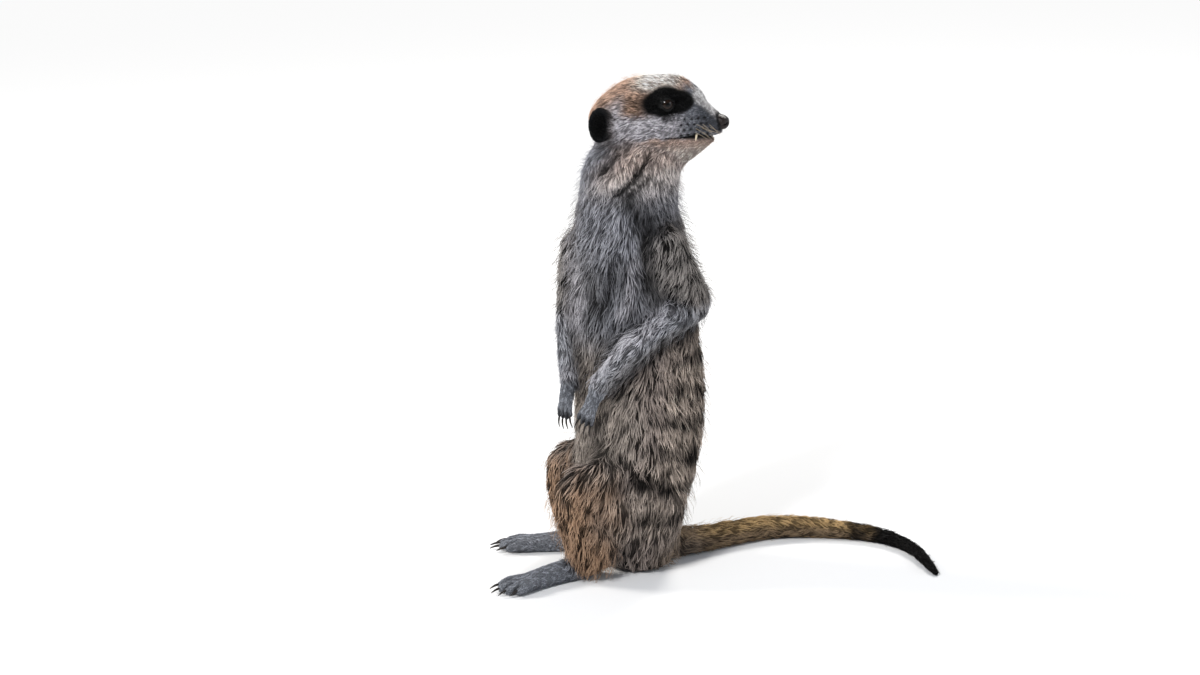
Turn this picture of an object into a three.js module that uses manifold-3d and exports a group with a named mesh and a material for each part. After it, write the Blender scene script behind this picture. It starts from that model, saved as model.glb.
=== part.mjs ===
// A life-size meerkat that sits upright on its haunches and looks back over its left shoulder.
// Millimetres, +Z up. The hips face -Y and +X is the animal's left. Every surface is the outside of the coat.
// The pieces are lofts through rings, rounded at their ends. A piece that lies under another is hollowed
// by a slightly larger copy of it, so the pieces touch without overlapping.

import * as THREE from "three";
import { LoftGeometry } from "three/addons/geometries/LoftGeometry.js";
import { mergeVertices } from "three/addons/utils/BufferGeometryUtils.js";
import Module from "manifold-3d";

// ---- Driving dimensions ----

const GAP = 0.3; // clearance left between two pieces
const NECK_CUT = 202; // height at which the neck starts

const HEAD_AT = new THREE.Vector3(-14.8, 24, 253); // middle of the skull, between and behind the eyes
const HEAD_TURN = 147; // how far the head is turned to the left of the hips
const EYE = { ahead: 11, aside: 15.8, up: 13, radius: 5 };
const EAR = { ahead: -23.6, aside: 24.6, up: 1.4, long: 6.9, thick: 4.6, high: 10.8, splay: 14 };
const MOUTH = { corner: 12, front: 46, level: -5.6, gape: 4.2 };
const CANINE = { ahead: 27.2, aside: 9.7, top: -3.4, length: 5.0, radius: 0.9 };
const NOSE = { ahead: 39.8, up: 0.6, long: 3.4, wide: 4.4, high: 3.8 };

const TOES = 4; // on every foot and hand
const FOOT = { length: 66, toeLength: 18, toeRadius: 3.0, spread: 4.1 };
const HAND = { fingerLength: 9.5, fingerRadius: 2.3, spread: 2.9, fan: 7 };
const CLAW = { footLength: 7.5, handLength: 9.5, rootRadius: 1.15, tipRadius: 0.4 };

const COAT = { grizzled: 0x8a7866, pale: 0xb9ab9c, dark: 0x1b1716, tan: 0x9c8052, paw: 0xa39a90 };
const HORN = 0x221d1b;
const IVORY = 0xe9dfca;

// Torso and neck, by height: [height, to the left, to the back, half width, to the belly, to the spine, turn]
const TORSO = [
  [1, -18.5, 15.5, 22, 16, 17, 0],
  [8.6, -18.5, 13.5, 31, 24, 24, 0],
  [24.6, -18.5, 13.5, 34, 28, 26.5, 0],
  [43.6, -18.5, 15.5, 35, 30, 31, 0],
  [61.6, -18.5, 17, 36, 33, 34.5, 2],
  [84.6, -18.5, 18, 36.5, 34, 37, 8],
  [107.6, -18.5, 17.5, 36, 34.5, 37.5, 16],
  [136.6, -17.5, 14.5, 34.5, 35.5, 38, 27],
  [159.6, -17, 13, 34, 35.5, 37.5, 35],
  [177.6, -17, 12.5, 32.5, 34, 35.5, 41],
  [191.6, -17.3, 11.7, 30.5, 33, 34, 48],
  [205.6, -17.5, 11.1, 28.8, 31.3, 31.8, 64],
  [218.6, -17.6, 12.6, 27.2, 28.7, 29.2, 92],
  [232.6, -16.6, 15.1, 25.7, 27.2, 27.2, 128],
  [246.6, -15, 19.5, 20, 20, 20, 150],
];

// Head, along its own axis: [ahead, top, middle, bottom, half width]
const HEAD = [
  [-34.2, 3.5, 0, -5, 5],
  [-31, 9, 0, -11, 13.5],
  [-25, 14.6, 0, -16, 20.5],
  [-17, 20.6, 0, -21, 24.8],
  [-7, 24.4, 0, -25, 26.4],
  [5, 25.8, -1, -28, 24.8],
  [12, 26.4, -1, -28, 21.6],
  [18, 24.4, 0, -25.5, 17.9],
  [23.5, 20, 1, -21, 14.3],
  [28, 14.2, 1, -17.2, 11.6],
  [32.5, 9.3, 0, -12.8, 9.9],
  [36, 6.9, -0.5, -9.4, 8.3],
  [38.6, 5.4, 0, -6.2, 6.7],
  [40.8, 3.6, 0, -4, 4.6],
];

// ---- Geometry helpers ----

const wasm = await Module();
wasm.setup();

const vec = (x, y, z) => new THREE.Vector3(x, y, z);
const UP = vec(0, 0, 1);

// The two level directions of something turned this many degrees to the left of the hips.
function facing(turn) {
  const a = THREE.MathUtils.degToRad(turn);
  return { ahead: vec(Math.sin(a), -Math.cos(a), 0), left: vec(Math.cos(a), Math.sin(a), 0) };
}

// A smooth function through rows of [key, value, value, ...], as a cubic in each interval.
function faired(rows) {
  const slope = (i, c) => {
    const a = rows[Math.max(i - 1, 0)];
    const b = rows[Math.min(i + 1, rows.length - 1)];
    return (b[c] - a[c]) / (b[0] - a[0]);
  };
  return (key) => {
    let i = 0;
    while (i < rows.length - 2 && key > rows[i + 1][0]) i++;
    const span = rows[i + 1][0] - rows[i][0];
    const t = THREE.MathUtils.clamp((key - rows[i][0]) / span, 0, 1);
    const [t2, t3] = [t * t, t * t * t];
    return rows[i].slice(1).map((from, n) => {
      const c = n + 1;
      const ends = (2 * t3 - 3 * t2 + 1) * from + (3 * t2 - 2 * t3) * rows[i + 1][c];
      return ends + (t3 - 2 * t2 + t) * span * slope(i, c) + (t3 - t2) * span * slope(i + 1, c);
    });
  };
}

// One ring of a loft. It reaches `half` along `across` both ways, and `above` and `below` along `over`.
function ring(centre, across, over, half, above, below, sides, squareness = 2) {
  const bent = (x) => Math.sign(x) * Math.abs(x) ** (2 / squareness);
  return Array.from({ length: sides }, (_, i) => {
    const angle = (2 * Math.PI * i) / sides;
    const [c, s] = [bent(Math.cos(angle)), bent(Math.sin(angle))];
    const level = centre.clone().addScaledVector(across, half * c);
    return level.addScaledVector(over, (s > 0 ? above : below) * s);
  });
}

// A closed geometry as a manifold solid.
function solid(shape) {
  const geometry = new THREE.BufferGeometry().copy(shape);
  for (const name of ["normal", "uv"]) geometry.deleteAttribute(name);
  const merged = mergeVertices(geometry, 1e-4);
  const mesh = new wasm.Mesh({
    numProp: 3,
    vertProperties: new Float32Array(merged.attributes.position.array),
    triVerts: new Uint32Array(merged.index.array),
  });
  return new wasm.Manifold(mesh);
}

const loft = (rings) => solid(new LoftGeometry(rings, { capStart: true, capEnd: true }));

// A limb through stations [x, y, z, half width, half depth], round at both ends.
// Its width points along `side`.
function limb(stations, side, { grow = 0, sides = 9, steps = 3, caps = 2, ends = [0.8, 0.8] } = {}) {
  const path = new THREE.CatmullRomCurve3(stations.map(([x, y, z]) => vec(x, y, z)), false, "centripetal");
  const girth = faired(stations.map(([, , , wide, deep], i) => [i / (stations.length - 1), wide, deep]));
  const ringAt = (t, shift, scale) => {
    const along = path.getTangent(t);
    const across = side.clone().addScaledVector(along, -side.dot(along)).normalize();
    const over = along.clone().cross(across);
    const [wide, deep] = girth(t).map((r) => (r + grow) * scale);
    return ring(path.getPoint(t).addScaledVector(along, shift), across, over, wide, deep, deep, sides);
  };
  const cap = (t, bulge, way) =>
    Array.from({ length: caps }, (_, i) => {
      const a = THREE.MathUtils.degToRad(78 * (1 - i / caps));
      const reach = Math.min(...girth(t)) * bulge + grow;
      return ringAt(t, way * reach * Math.sin(a), Math.cos(a));
    });
  const body = Array.from({ length: steps + 1 }, (_, i) => ringAt(i / steps, 0, 1));
  return loft([...cap(0, ends[0], -1), ...body, ...cap(1, ends[1], 1).reverse()]);
}

// An ellipsoid with half sizes along three directions.
function ellipsoid(centre, axes, halves, grow = 0, [around, down] = [10, 6]) {
  const ball = new THREE.SphereGeometry(1, around, down);
  const stretch = axes.map((axis, i) => axis.clone().multiplyScalar(halves[i] + grow));
  ball.applyMatrix4(new THREE.Matrix4().makeBasis(...stretch).setPosition(centre));
  return solid(ball);
}

const together = (solids) => solids.reduce((a, b) => a.add(b));

const floor = solid(new THREE.BoxGeometry(900, 900, 60).translate(0, 0, -30));

// ---- Torso and neck ----

const torsoAt = faired(TORSO);

function torso(low, high, steps, grow = 0) {
  const rings = [];
  for (let i = 0; i <= steps; i++) {
    const height = THREE.MathUtils.lerp(low, high, i / steps);
    const [x, y, wide, belly, spine, turn] = torsoAt(height);
    const { ahead, left } = facing(turn);
    const centre = vec(x, y, height);
    rings.push(ring(centre, left, ahead.negate(), wide + grow, spine + grow, belly + grow, 18, 2.15));
  }
  return loft(rings);
}

// ---- Head ----

const head = facing(HEAD_TURN);
const headAxes = [head.ahead, head.left, UP];

// A point so far ahead of, to the left of and above the origin of three axes.
function placed(origin, axes, steps) {
  return axes.reduce((at, axis, i) => at.addScaledVector(axis, steps[i]), origin.clone());
}

const inHead = (...steps) => placed(HEAD_AT, headAxes, steps);

// Brings a point under the cheeks in towards the middle of the jaw.
function narrowed(point, middle, below) {
  const offset = point.clone().sub(HEAD_AT);
  const depth = THREE.MathUtils.clamp((middle - offset.z) / below, 0, 1);
  point.addScaledVector(head.left, -0.3 * depth ** 1.5 * offset.dot(head.left));
}

function skull(grow = 0) {
  const shape = faired(HEAD);
  const [back, front] = [HEAD[0][0], HEAD[HEAD.length - 1][0]];
  const steps = 14;
  const rings = [];
  for (let i = 0; i <= steps; i++) {
    const ahead = THREE.MathUtils.lerp(back, front, i / steps);
    const [top, middle, bottom, half] = shape(ahead);
    const above = top - middle + grow;
    const below = middle - bottom + grow;
    const points = ring(inHead(ahead, 0, middle), head.left, UP, half + grow, above, below, 16, 2.1);
    for (const point of points) narrowed(point, middle, below);
    rings.push(points);
  }
  return loft(rings);
}

// The mouth is a thin wedge that opens from its corners towards the front.
function mouth() {
  const { corner, front, level, gape } = MOUTH;
  const half = 30;
  const outline = new THREE.Shape([
    new THREE.Vector2(corner, level),
    new THREE.Vector2(front, level - gape),
    new THREE.Vector2(front, level),
  ]);
  const wedge = new THREE.ExtrudeGeometry(outline, { depth: 2 * half, bevelEnabled: false });
  // The outline's x, y and depth become ahead, up and to the right.
  const basis = new THREE.Matrix4().makeBasis(head.ahead, UP, head.left.clone().negate());
  wedge.applyMatrix4(basis.setPosition(inHead(0, half, 0)));
  return solid(wedge);
}

const eye = (way) => (grow) =>
  ellipsoid(inHead(EYE.ahead, way * EYE.aside, EYE.up), headAxes, Array(3).fill(EYE.radius), grow, [11, 7]);

const nose = (grow) => {
  const { ahead, up, long, wide, high } = NOSE;
  return ellipsoid(inHead(ahead, 0, up), headAxes, [long, wide, high], grow);
};

const canine = (way) => (grow) => {
  const { ahead, aside, top, length, radius } = CANINE;
  const root = inHead(ahead, way * aside, top);
  const tip = inHead(ahead - 0.6, way * (aside - 0.3), top - length);
  const middle = root.clone().lerp(tip, 0.5);
  const stations = [[...root, radius, radius], [...middle, radius * 0.8, radius * 0.8], [...tip, 0.35, 0.35]];
  return limb(stations, head.left, { grow, sides: 6, steps: 2, caps: 1 });
};

// A rounded ear set low on the side of the head, cupped on its outer face.
const ear = (way) => (grow) => {
  const { ahead, aside, up, long, thick, high, splay } = EAR;
  const a = THREE.MathUtils.degToRad(splay);
  const outward = head.left.clone().multiplyScalar(way);
  const lying = head.ahead.clone().multiplyScalar(Math.cos(a)).addScaledVector(outward, -Math.sin(a));
  const facingOut = outward.clone().multiplyScalar(Math.cos(a)).addScaledVector(head.ahead, Math.sin(a));
  const axes = way > 0 ? [lying, facingOut, UP] : [lying, facingOut.clone().negate(), UP];
  const centre = inHead(ahead, way * aside, up);
  const shell = ellipsoid(centre, axes, [long, thick, high], grow, [11, 7]);
  if (grow) return shell;
  const cup = centre.clone().addScaledVector(facingOut, thick * 0.95).addScaledVector(lying, 1);
  return shell.subtract(ellipsoid(cup, axes, [long * 0.66, thick * 0.72, high * 0.68], 0, [9, 5]));
};

// ---- Arms ----

// Shoulder, elbow, wrist and finger roots, each [x, y, z, half width, half depth].
const ARM = {
  left: {
    shoulder: [11.5, 20, 188, 13, 15],
    upper: [9.5, 30.5, 167, 12.5, 15],
    elbow: [1.5, 43, 151, 10.5, 11.5],
    forearm: [18.5, 9.5, 142.5, 9.5, 11.5],
    wrist: [7, -15.5, 111, 6, 6.4],
    palm: [5.6, -18.6, 103, 5.4, 4.6],
    knuckles: [5, -20.6, 98, 6, 4.2],
  },
  right: {
    shoulder: [-29, -12, 182, 12, 12.5],
    upper: [-29.5, -15.5, 163, 10, 10.5],
    elbow: [-28.5, -18.5, 144, 8.2, 8.5],
    forearm: [-25, -21, 126, 7.2, 7],
    wrist: [-20.5, -22.5, 108.5, 5.4, 5.2],
    palm: [-19, -24.5, 101.5, 5.4, 4.6],
    knuckles: [-18, -25.5, 97, 6, 4.2],
  },
};

const acrossArm = { left: facing(40).left, right: facing(20).left };

const upperArm = (side) => (grow) => {
  const { shoulder, upper, elbow } = ARM[side];
  return limb([shoulder, upper, elbow], acrossArm[side], { grow });
};

const forearm = (side) => (grow) => {
  const { elbow, forearm: middle, wrist } = ARM[side];
  return limb([elbow, middle, wrist], acrossArm[side], { grow, ends: [0.95, 0.5] });
};

// Where finger `i` starts, its direction, and which way its claw curls.
function finger(side, i) {
  const { palm, knuckles } = ARM[side];
  const start = vec(...knuckles);
  const down = start.clone().sub(vec(...palm)).normalize();
  const across = acrossArm[side].clone().addScaledVector(down, -acrossArm[side].dot(down)).normalize();
  const place = i - (TOES - 1) / 2;
  const curl = down.clone().cross(across).normalize();
  if (curl.dot(facing(10).ahead) > 0) curl.negate();
  const fan = THREE.MathUtils.degToRad(-HAND.fan * place * Math.sign(curl.y));
  const way = down.clone().applyAxisAngle(curl, fan);
  start.addScaledVector(across, place * HAND.spread);
  const length = HAND.fingerLength * (1 - 0.09 * Math.abs(place));
  return { start, way, across, curl, length };
}

const hand = (side) => (grow) => {
  const { wrist, palm, knuckles } = ARM[side];
  const shape = { grow, sides: 7, steps: 2, caps: 1, ends: [0.5, 0.6] };
  const parts = [limb([wrist, palm, knuckles], acrossArm[side], shape)];
  for (let i = 0; i < TOES; i++) {
    const { start, way, across, curl, length } = finger(side, i);
    const r = HAND.fingerRadius;
    const middle = start.clone().addScaledVector(way, length / 2);
    const tip = start.clone().addScaledVector(way, length).addScaledVector(curl, 1.2);
    const stations = [[...start, r, r * 1.1], [...middle, r, r], [...tip, r * 0.8, r * 0.8]];
    parts.push(limb(stations, across, { grow, sides: 5, steps: 2, caps: 1 }));
  }
  return together(parts);
};

// A claw: it leaves along `way` and bends towards `curl`.
function claw(root, way, curl, across, length, grow) {
  const at = (t) => {
    const out = root.clone().addScaledVector(way, length * t * (1 - 0.18 * t));
    return out.addScaledVector(curl, length * 0.32 * t * t);
  };
  const stations = [0, 0.5, 1].map((t) => {
    const r = THREE.MathUtils.lerp(CLAW.rootRadius, CLAW.tipRadius, t);
    return [...at(t), r * 0.8, r * 1.1];
  });
  return limb(stations, across, { grow, sides: 5, steps: 2, caps: 1 });
}

const handClaw = (side, i) => (grow) => {
  const { start, way, across, curl, length } = finger(side, i);
  const root = start.clone().addScaledVector(way, length + 0.6).addScaledVector(curl, 0.6);
  return claw(root, way, curl, across, CLAW.handLength, grow);
};

// ---- Legs ----

// Distances here are ahead of the hips, to the side and up.
// The two legs differ a little, as a resting animal's do.
const HIPS = { x: -18.5, y: 15.5, turn: -10 };
const hips = facing(HIPS.turn);
const inHips = (...steps) => placed(vec(HIPS.x, HIPS.y, 0), [hips.ahead, hips.left, UP], steps);

const LEG = {
  rump: [-7, 19, 33, 19, 27],
  thigh: [12, 24, 42, 17.5, 27],
  knee: [34, 27, 49, 13, 19.5],
  kneeBend: [37, 27, 42, 10.5, 13],
  shin: [28, 28, 23, 13.5, 15.5],
  ankle: [8, 9, 10, 12, 12], // from the heel
};
const STANCE = {
  left: { way: 1, knee: 3, heel: [25, 16], splay: 28 },
  right: { way: -1, knee: -4, heel: [3, -25], splay: -12 },
};

// A station of the leg. The knee's own advance grows from the hip to the knee.
function legStation(side, name, share) {
  const { way, knee } = STANCE[side];
  const [ahead, aside, up, wide, deep] = LEG[name];
  return [...inHips(ahead + knee * share, way * aside, up), wide, deep];
}

const thigh = (side) => (grow) => {
  const stations = [legStation(side, "rump", 0), legStation(side, "thigh", 0.5), legStation(side, "knee", 1)];
  return limb(stations, hips.left, { grow, sides: 12, steps: 4, caps: 3, ends: [0.9, 1.15] });
};

const shin = (side) => (grow) => {
  const [ahead, aside, up, wide, deep] = LEG.ankle;
  const ankle = [...inFoot(side, ahead, STANCE[side].way * aside, up), wide, deep];
  const stations = [legStation(side, "kneeBend", 1), legStation(side, "shin", 1), ankle];
  const whole = limb(stations, hips.left, { grow, sides: 10, steps: 3, ends: [0.9, 0.5] });
  return whole.subtract(floor);
};

// The sole lies on the floor. Rows are [ahead of the heel, half width, height].
const SOLE = [
  [0, 5.4, 9],
  [16, 6.8, 12.5],
  [32, 7.2, 11],
  [46, 8, 9],
  [54, 7.8, 7],
  [58, 6, 5],
];

const footFacing = (side) => facing(HIPS.turn + STANCE[side].splay);

function inFoot(side, ahead, aside, up) {
  const way = footFacing(side);
  const heel = inHips(...STANCE[side].heel, 0);
  return placed(heel, [way.ahead, way.left, UP], [ahead, aside, up]);
}

// Where a toe starts and ends, and which way it lies.
function toe(side, i) {
  const { ahead, left } = footFacing(side);
  const place = i - (TOES - 1) / 2;
  const length = FOOT.toeLength * (1 - 0.1 * place * place);
  const start = inFoot(side, FOOT.length - FOOT.toeLength, place * FOOT.spread, FOOT.toeRadius + 1.4);
  const way = ahead.clone().addScaledVector(left, 0.09 * place).addScaledVector(UP, -0.1).normalize();
  return { start, way, left, end: start.clone().addScaledVector(way, length) };
}

const foot = (side) => (grow) => {
  const { left } = footFacing(side);
  const rings = SOLE.map(([ahead, half, height]) => {
    const middle = height * 0.4;
    const centre = inFoot(side, ahead, 0, middle);
    return ring(centre, left, UP, half + grow, height - middle + grow, middle + 1 + grow, 9, 2.2);
  });
  const parts = [loft(rings)];
  for (let i = 0; i < TOES; i++) {
    const { start, end } = toe(side, i);
    const r = FOOT.toeRadius;
    const joint = start.clone().lerp(end, 0.55).addScaledVector(UP, 0.8);
    const stations = [[...start, r, r * 1.2], [...joint, r, r * 1.1], [...end, r * 0.85, r * 0.85]];
    parts.push(limb(stations, left, { grow, sides: 5, steps: 2, caps: 1 }));
  }
  return together(parts).subtract(floor);
};

const footClaw = (side, i) => (grow) => {
  const { end, way, left } = toe(side, i);
  const root = end.clone().addScaledVector(way, 1.6).addScaledVector(UP, 0.9);
  return claw(root, way, vec(0, 0, -0.55), left, CLAW.footLength, grow);
};

// ---- Tail ----

// Along the floor: [x, y, radius]. It leaves the rump, swings to the right and curls back to the left.
const TAIL = [
  [-19, 28, 10.5],
  [-19.5, 39, 9.6],
  [-21.5, 51, 8.3],
  [-28, 76, 7.6],
  [-33, 100, 7.2],
  [-29, 121, 6.6],
  [-18, 141, 5.7],
  [-5, 155, 5],
  [11, 163.5, 4.3],
  [31, 165.5, 3.8],
  [52, 163, 3.1],
  [68, 160.5, 2.2],
];
const TAIL_CUTS = [0, 0.36, 0.7, 1];

function tailRings(from, to, steps, grow) {
  const sink = 0.5; // how far the round tail is pressed flat on the floor
  const path = new THREE.CatmullRomCurve3(TAIL.map(([x, y, r]) => vec(x, y, r - sink)), false, "centripetal");
  const radius = faired(TAIL.map(([, , r], i) => [i / (TAIL.length - 1), r]));
  return Array.from({ length: steps + 1 }, (_, i) => {
    const t = THREE.MathUtils.lerp(from, to, i / steps);
    const along = path.getTangent(t);
    const across = UP.clone().cross(along).normalize();
    const [r] = radius(t).map((x) => x + grow);
    return ring(path.getPoint(t), across, along.clone().cross(across), r, r, r, 9);
  });
}

const tailLength = (n) => (grow) => {
  const [from, to] = [TAIL_CUTS[n], TAIL_CUTS[n + 1]];
  const cut = 0.0007; // share of the tail that is half the gap between two lengths
  const rings = tailRings(n ? from + cut : from, to - cut, 5, grow);
  if (to === 1) {
    const end = rings[rings.length - 1];
    const centre = end.reduce((sum, p) => sum.add(p), vec(0, 0, 0)).divideScalar(end.length);
    const beyond = vec(0.98, -0.15, -0.1);
    for (const [shift, scale] of [[1.6, 0.85], [2.7, 0.5]]) {
      const ahead = centre.clone().addScaledVector(beyond, shift);
      rings.push(end.map((p) => p.clone().sub(centre).multiplyScalar(scale).add(ahead)));
    }
  }
  return loft(rings).subtract(floor);
};

// ---- The pieces, outermost first ----

const sides = { left: 1, right: -1 };
const pieces = [];
const piece = (name, make, colour, roughness = 0.9) => pieces.push({ name, make, colour, roughness });

for (const [side, way] of Object.entries(sides)) {
  piece(`eye_${side}`, eye(way), HORN, 0.12);
  piece(`canine_${side}`, canine(way), IVORY, 0.35);
}
piece("nose", nose, COAT.dark, 0.5);
for (const [side, way] of Object.entries(sides)) piece(`ear_${side}`, ear(way), COAT.dark);
piece("head", (grow) => skull(grow).subtract(mouth()), COAT.pale);
piece("neck", (grow) => torso(NECK_CUT + GAP - grow, 245, 4, grow), COAT.pale);

for (const side of Object.keys(sides)) {
  for (let i = 0; i < TOES; i++) piece(`hand_claw_${side}_${i + 1}`, handClaw(side, i), HORN, 0.35);
  piece(`hand_${side}`, hand(side), COAT.paw);
  piece(`forearm_${side}`, forearm(side), COAT.grizzled);
  piece(`upper_arm_${side}`, upperArm(side), COAT.grizzled);
  for (let i = 0; i < TOES; i++) piece(`foot_claw_${side}_${i + 1}`, footClaw(side, i), HORN, 0.35);
  piece(`foot_${side}`, foot(side), COAT.paw);
  piece(`shin_${side}`, shin(side), COAT.grizzled);
  piece(`thigh_${side}`, thigh(side), COAT.grizzled);
}
["tail_base", "tail_middle", "tail_tip"].forEach((name, n) => {
  piece(name, tailLength(n), n === 2 ? COAT.dark : COAT.tan);
});
piece("trunk", (grow) => torso(-2, NECK_CUT, 12, grow).subtract(floor), COAT.grizzled);

// Takes from each piece what the pieces before it cover, and keeps its largest body.
function parted(list) {
  const covers = list.map(({ make }) => make(GAP));
  return list.map(({ make }, i) => {
    let own = make(0);
    for (const cover of covers.slice(0, i)) own = own.subtract(cover);
    const bodies = own.decompose().sort((a, b) => b.volume() - a.volume());
    return bodies[0];
  });
}

function meshOf(body, { name, colour, roughness }) {
  const { vertProperties, triVerts } = body.getMesh();
  const geometry = new THREE.BufferGeometry()
    .setAttribute("position", new THREE.BufferAttribute(vertProperties, 3))
    .setIndex(new THREE.BufferAttribute(triVerts, 1));
  geometry.computeVertexNormals();
  const material = new THREE.MeshStandardMaterial({ color: colour, roughness, metalness: 0 });
  const mesh = new THREE.Mesh(geometry, material);
  mesh.name = name;
  return mesh;
}

const meerkat = new THREE.Group();
parted(pieces).forEach((body, i) => meerkat.add(meshOf(body, pieces[i])));

// The origin is on the floor, at the middle of the outline seen from above.
const bounds = new THREE.Box3().setFromObject(meerkat);
const middle = bounds.getCenter(vec(0, 0, 0));
meerkat.position.set(-middle.x, -middle.y, -bounds.min.z);

export default meerkat;
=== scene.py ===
# %% [markdown]
# # A meerkat on the lookout
# A meerkat sits upright on its haunches and looks back over its left shoulder. Its solid parts are already
# made and reach out to the tips of the coat. This lesson dresses them as the real animal is dressed: one
# skin under everything, dark eyes, a leathery nose, claws, and a coat of thousands of small tufts. First the
# solids are loaded.

# %% Load the solids
import math

import bmesh
import bpy
import numpy as np
from mathutils import Matrix, Vector
from mathutils.bvhtree import BVHTree
from mathutils.kdtree import KDTree


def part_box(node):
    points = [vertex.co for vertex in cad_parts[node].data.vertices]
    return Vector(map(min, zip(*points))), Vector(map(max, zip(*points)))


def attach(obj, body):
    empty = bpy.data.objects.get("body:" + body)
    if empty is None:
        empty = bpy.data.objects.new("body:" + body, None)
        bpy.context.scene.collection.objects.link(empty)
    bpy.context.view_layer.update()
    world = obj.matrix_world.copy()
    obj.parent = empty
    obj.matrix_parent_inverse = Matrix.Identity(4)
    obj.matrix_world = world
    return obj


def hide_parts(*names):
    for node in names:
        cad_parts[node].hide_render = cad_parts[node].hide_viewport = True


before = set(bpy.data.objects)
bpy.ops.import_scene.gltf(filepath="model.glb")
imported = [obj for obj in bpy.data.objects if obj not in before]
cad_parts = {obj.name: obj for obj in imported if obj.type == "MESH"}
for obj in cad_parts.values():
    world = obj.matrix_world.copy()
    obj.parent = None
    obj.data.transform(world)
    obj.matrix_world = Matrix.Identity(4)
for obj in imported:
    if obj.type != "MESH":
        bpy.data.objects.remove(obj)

MM = 0.001
TURN = 2 * math.pi
chance = np.random.default_rng(1907)
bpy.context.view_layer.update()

# %% [markdown]
# ## Landmarks
# A modeller measures from landmarks, such as the middle of an eye, and not from the origin of the scene. The
# eyes give the head its own axes: ahead, to the animal's left, and up. Any point can then be told in
# millimetres along them, whichever way the head is turned.

# %% Landmarks of the head
def box(node):
    """The lowest and the highest corner of a solid."""
    return np.array([list(corner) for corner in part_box(node)])


def middle(node):
    return box(node).mean(0)


def unit(vectors):
    return vectors / np.maximum(np.linalg.norm(vectors, axis=-1, keepdims=True), 1e-12)


SIDES = {"left": 1, "right": -1}
UP = np.array((0.0, 0.0, 1.0))
EYES_AHEAD, EYES_ABOVE = 11, 13  # mm from the middle of the skull
EYE_RADIUS = np.ptp(box("eye_left")[:, 2]) / 2
eye_at = {side: middle(f"eye_{side}") for side in SIDES}
to_left = unit(eye_at["left"] - eye_at["right"])
ahead = np.cross(to_left, UP)
skull_at = (eye_at["left"] + eye_at["right"]) / 2 - (EYES_AHEAD * ahead + EYES_ABOVE * UP) * MM
head_axes = np.array([ahead, to_left, UP])


def head_mm(points):
    """How far points lie ahead, to the left and above the middle of the skull."""
    return (points - skull_at) @ head_axes.T / MM


def from_head(points):
    """The places of points that are told in millimetres along the head's axes."""
    return skull_at + points * MM @ head_axes


print("eye radius", round(EYE_RADIUS / MM, 1), "mm; the nose points along", ahead.round(2))

# %% [markdown]
# ## One skin
# The solids are separate, with hair-thin gaps between them, but a real animal has one skin. Booleans would
# leave sharp seams. Instead the flesh is copied into one mesh and swollen a little so that the parts touch,
# and a voxel remesh melts them into a single surface. Eyeballs and nose go in as well, as something to close
# over.

# %% Melt the flesh into one surface
def mesh_from(bm, name):
    """Writes a bmesh into a new mesh and lets go of it."""
    mesh = bpy.data.meshes.new(name)
    bm.to_mesh(mesh)
    bm.free()
    return mesh


def piece(name, mesh, material=None):
    mesh.materials.clear()
    if material:
        mesh.materials.append(material)
    obj = bpy.data.objects.new(name, mesh)
    bpy.context.collection.objects.link(obj)
    return obj


def finished(obj):
    """The mesh of an object with its modifiers carried out."""
    graph = bpy.context.evaluated_depsgraph_get()
    return bpy.data.meshes.new_from_object(obj.evaluated_get(graph))


def is_flesh(name):
    return not name.startswith(("eye_", "canine_", "nose")) and "claw" not in name


FLESH = [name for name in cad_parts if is_flesh(name)]
VOXEL, SWELL = 1.4 * MM, 0.25
clay = bmesh.new()
for name in FLESH + ["eye_left", "eye_right", "nose"]:
    clay.from_mesh(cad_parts[name].data)
bmesh.ops.remove_doubles(clay, verts=clay.verts, dist=1e-6)
clay.normal_update()
for v in clay.verts:
    v.co += v.normal * SWELL * MM
lump = piece("lump", mesh_from(clay, "lump"))
melt = lump.modifiers.new("melt", "REMESH")
melt.mode, melt.voxel_size = "VOXEL", VOXEL
melted = finished(lump)
bpy.data.objects.remove(lump)
print("melted:", len(melted.vertices), "points")

# %% [markdown]
# The remesh also closes round any pocket left inside. Every point is given the number of the lowest point
# that it is joined to. The largest family is the outer skin, and the rest is deleted.

# %% Keep the outer surface
def numbers(collection, name, width, kind=float):
    out = np.empty(len(collection) * width, kind)
    collection.foreach_get(name, out)
    return out.reshape(-1, width)


def families(edges, count):
    """A number for each point, the same for all points that are joined."""
    label = np.arange(count)
    while True:
        low = np.minimum(label[edges[:, 0]], label[edges[:, 1]])
        new = label.copy()
        np.minimum.at(new, edges[:, 0], low)
        np.minimum.at(new, edges[:, 1], low)
        new = new[new]
        if (new == label).all():
            return label
        label = new


family = families(numbers(melted.edges, "vertices", 2, np.int32), len(melted.vertices))
skin_bm = bmesh.new()
skin_bm.from_mesh(melted)
skin_bm.verts.ensure_lookup_table()
hidden = [skin_bm.verts[i] for i in np.nonzero(family != np.bincount(family).argmax())[0]]
bmesh.ops.delete(skin_bm, geom=hidden, context="VERTS")
print("hidden points removed:", len(hidden))

# %% [markdown]
# A lid or a lip needs several faces across its width. A finer remesh of the whole animal would be too heavy,
# so only the edges of the face, the lids, the lips, the hands and the feet are cut in two.

# %% Smaller faces where the forms are fine
def eased(low, high, value):
    """0 at one limit, 1 at the other, and a smooth step between them."""
    t = np.clip((np.asarray(value, float) - low) / (high - low), 0, 1)
    return t * t * (3 - 2 * t)


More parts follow.
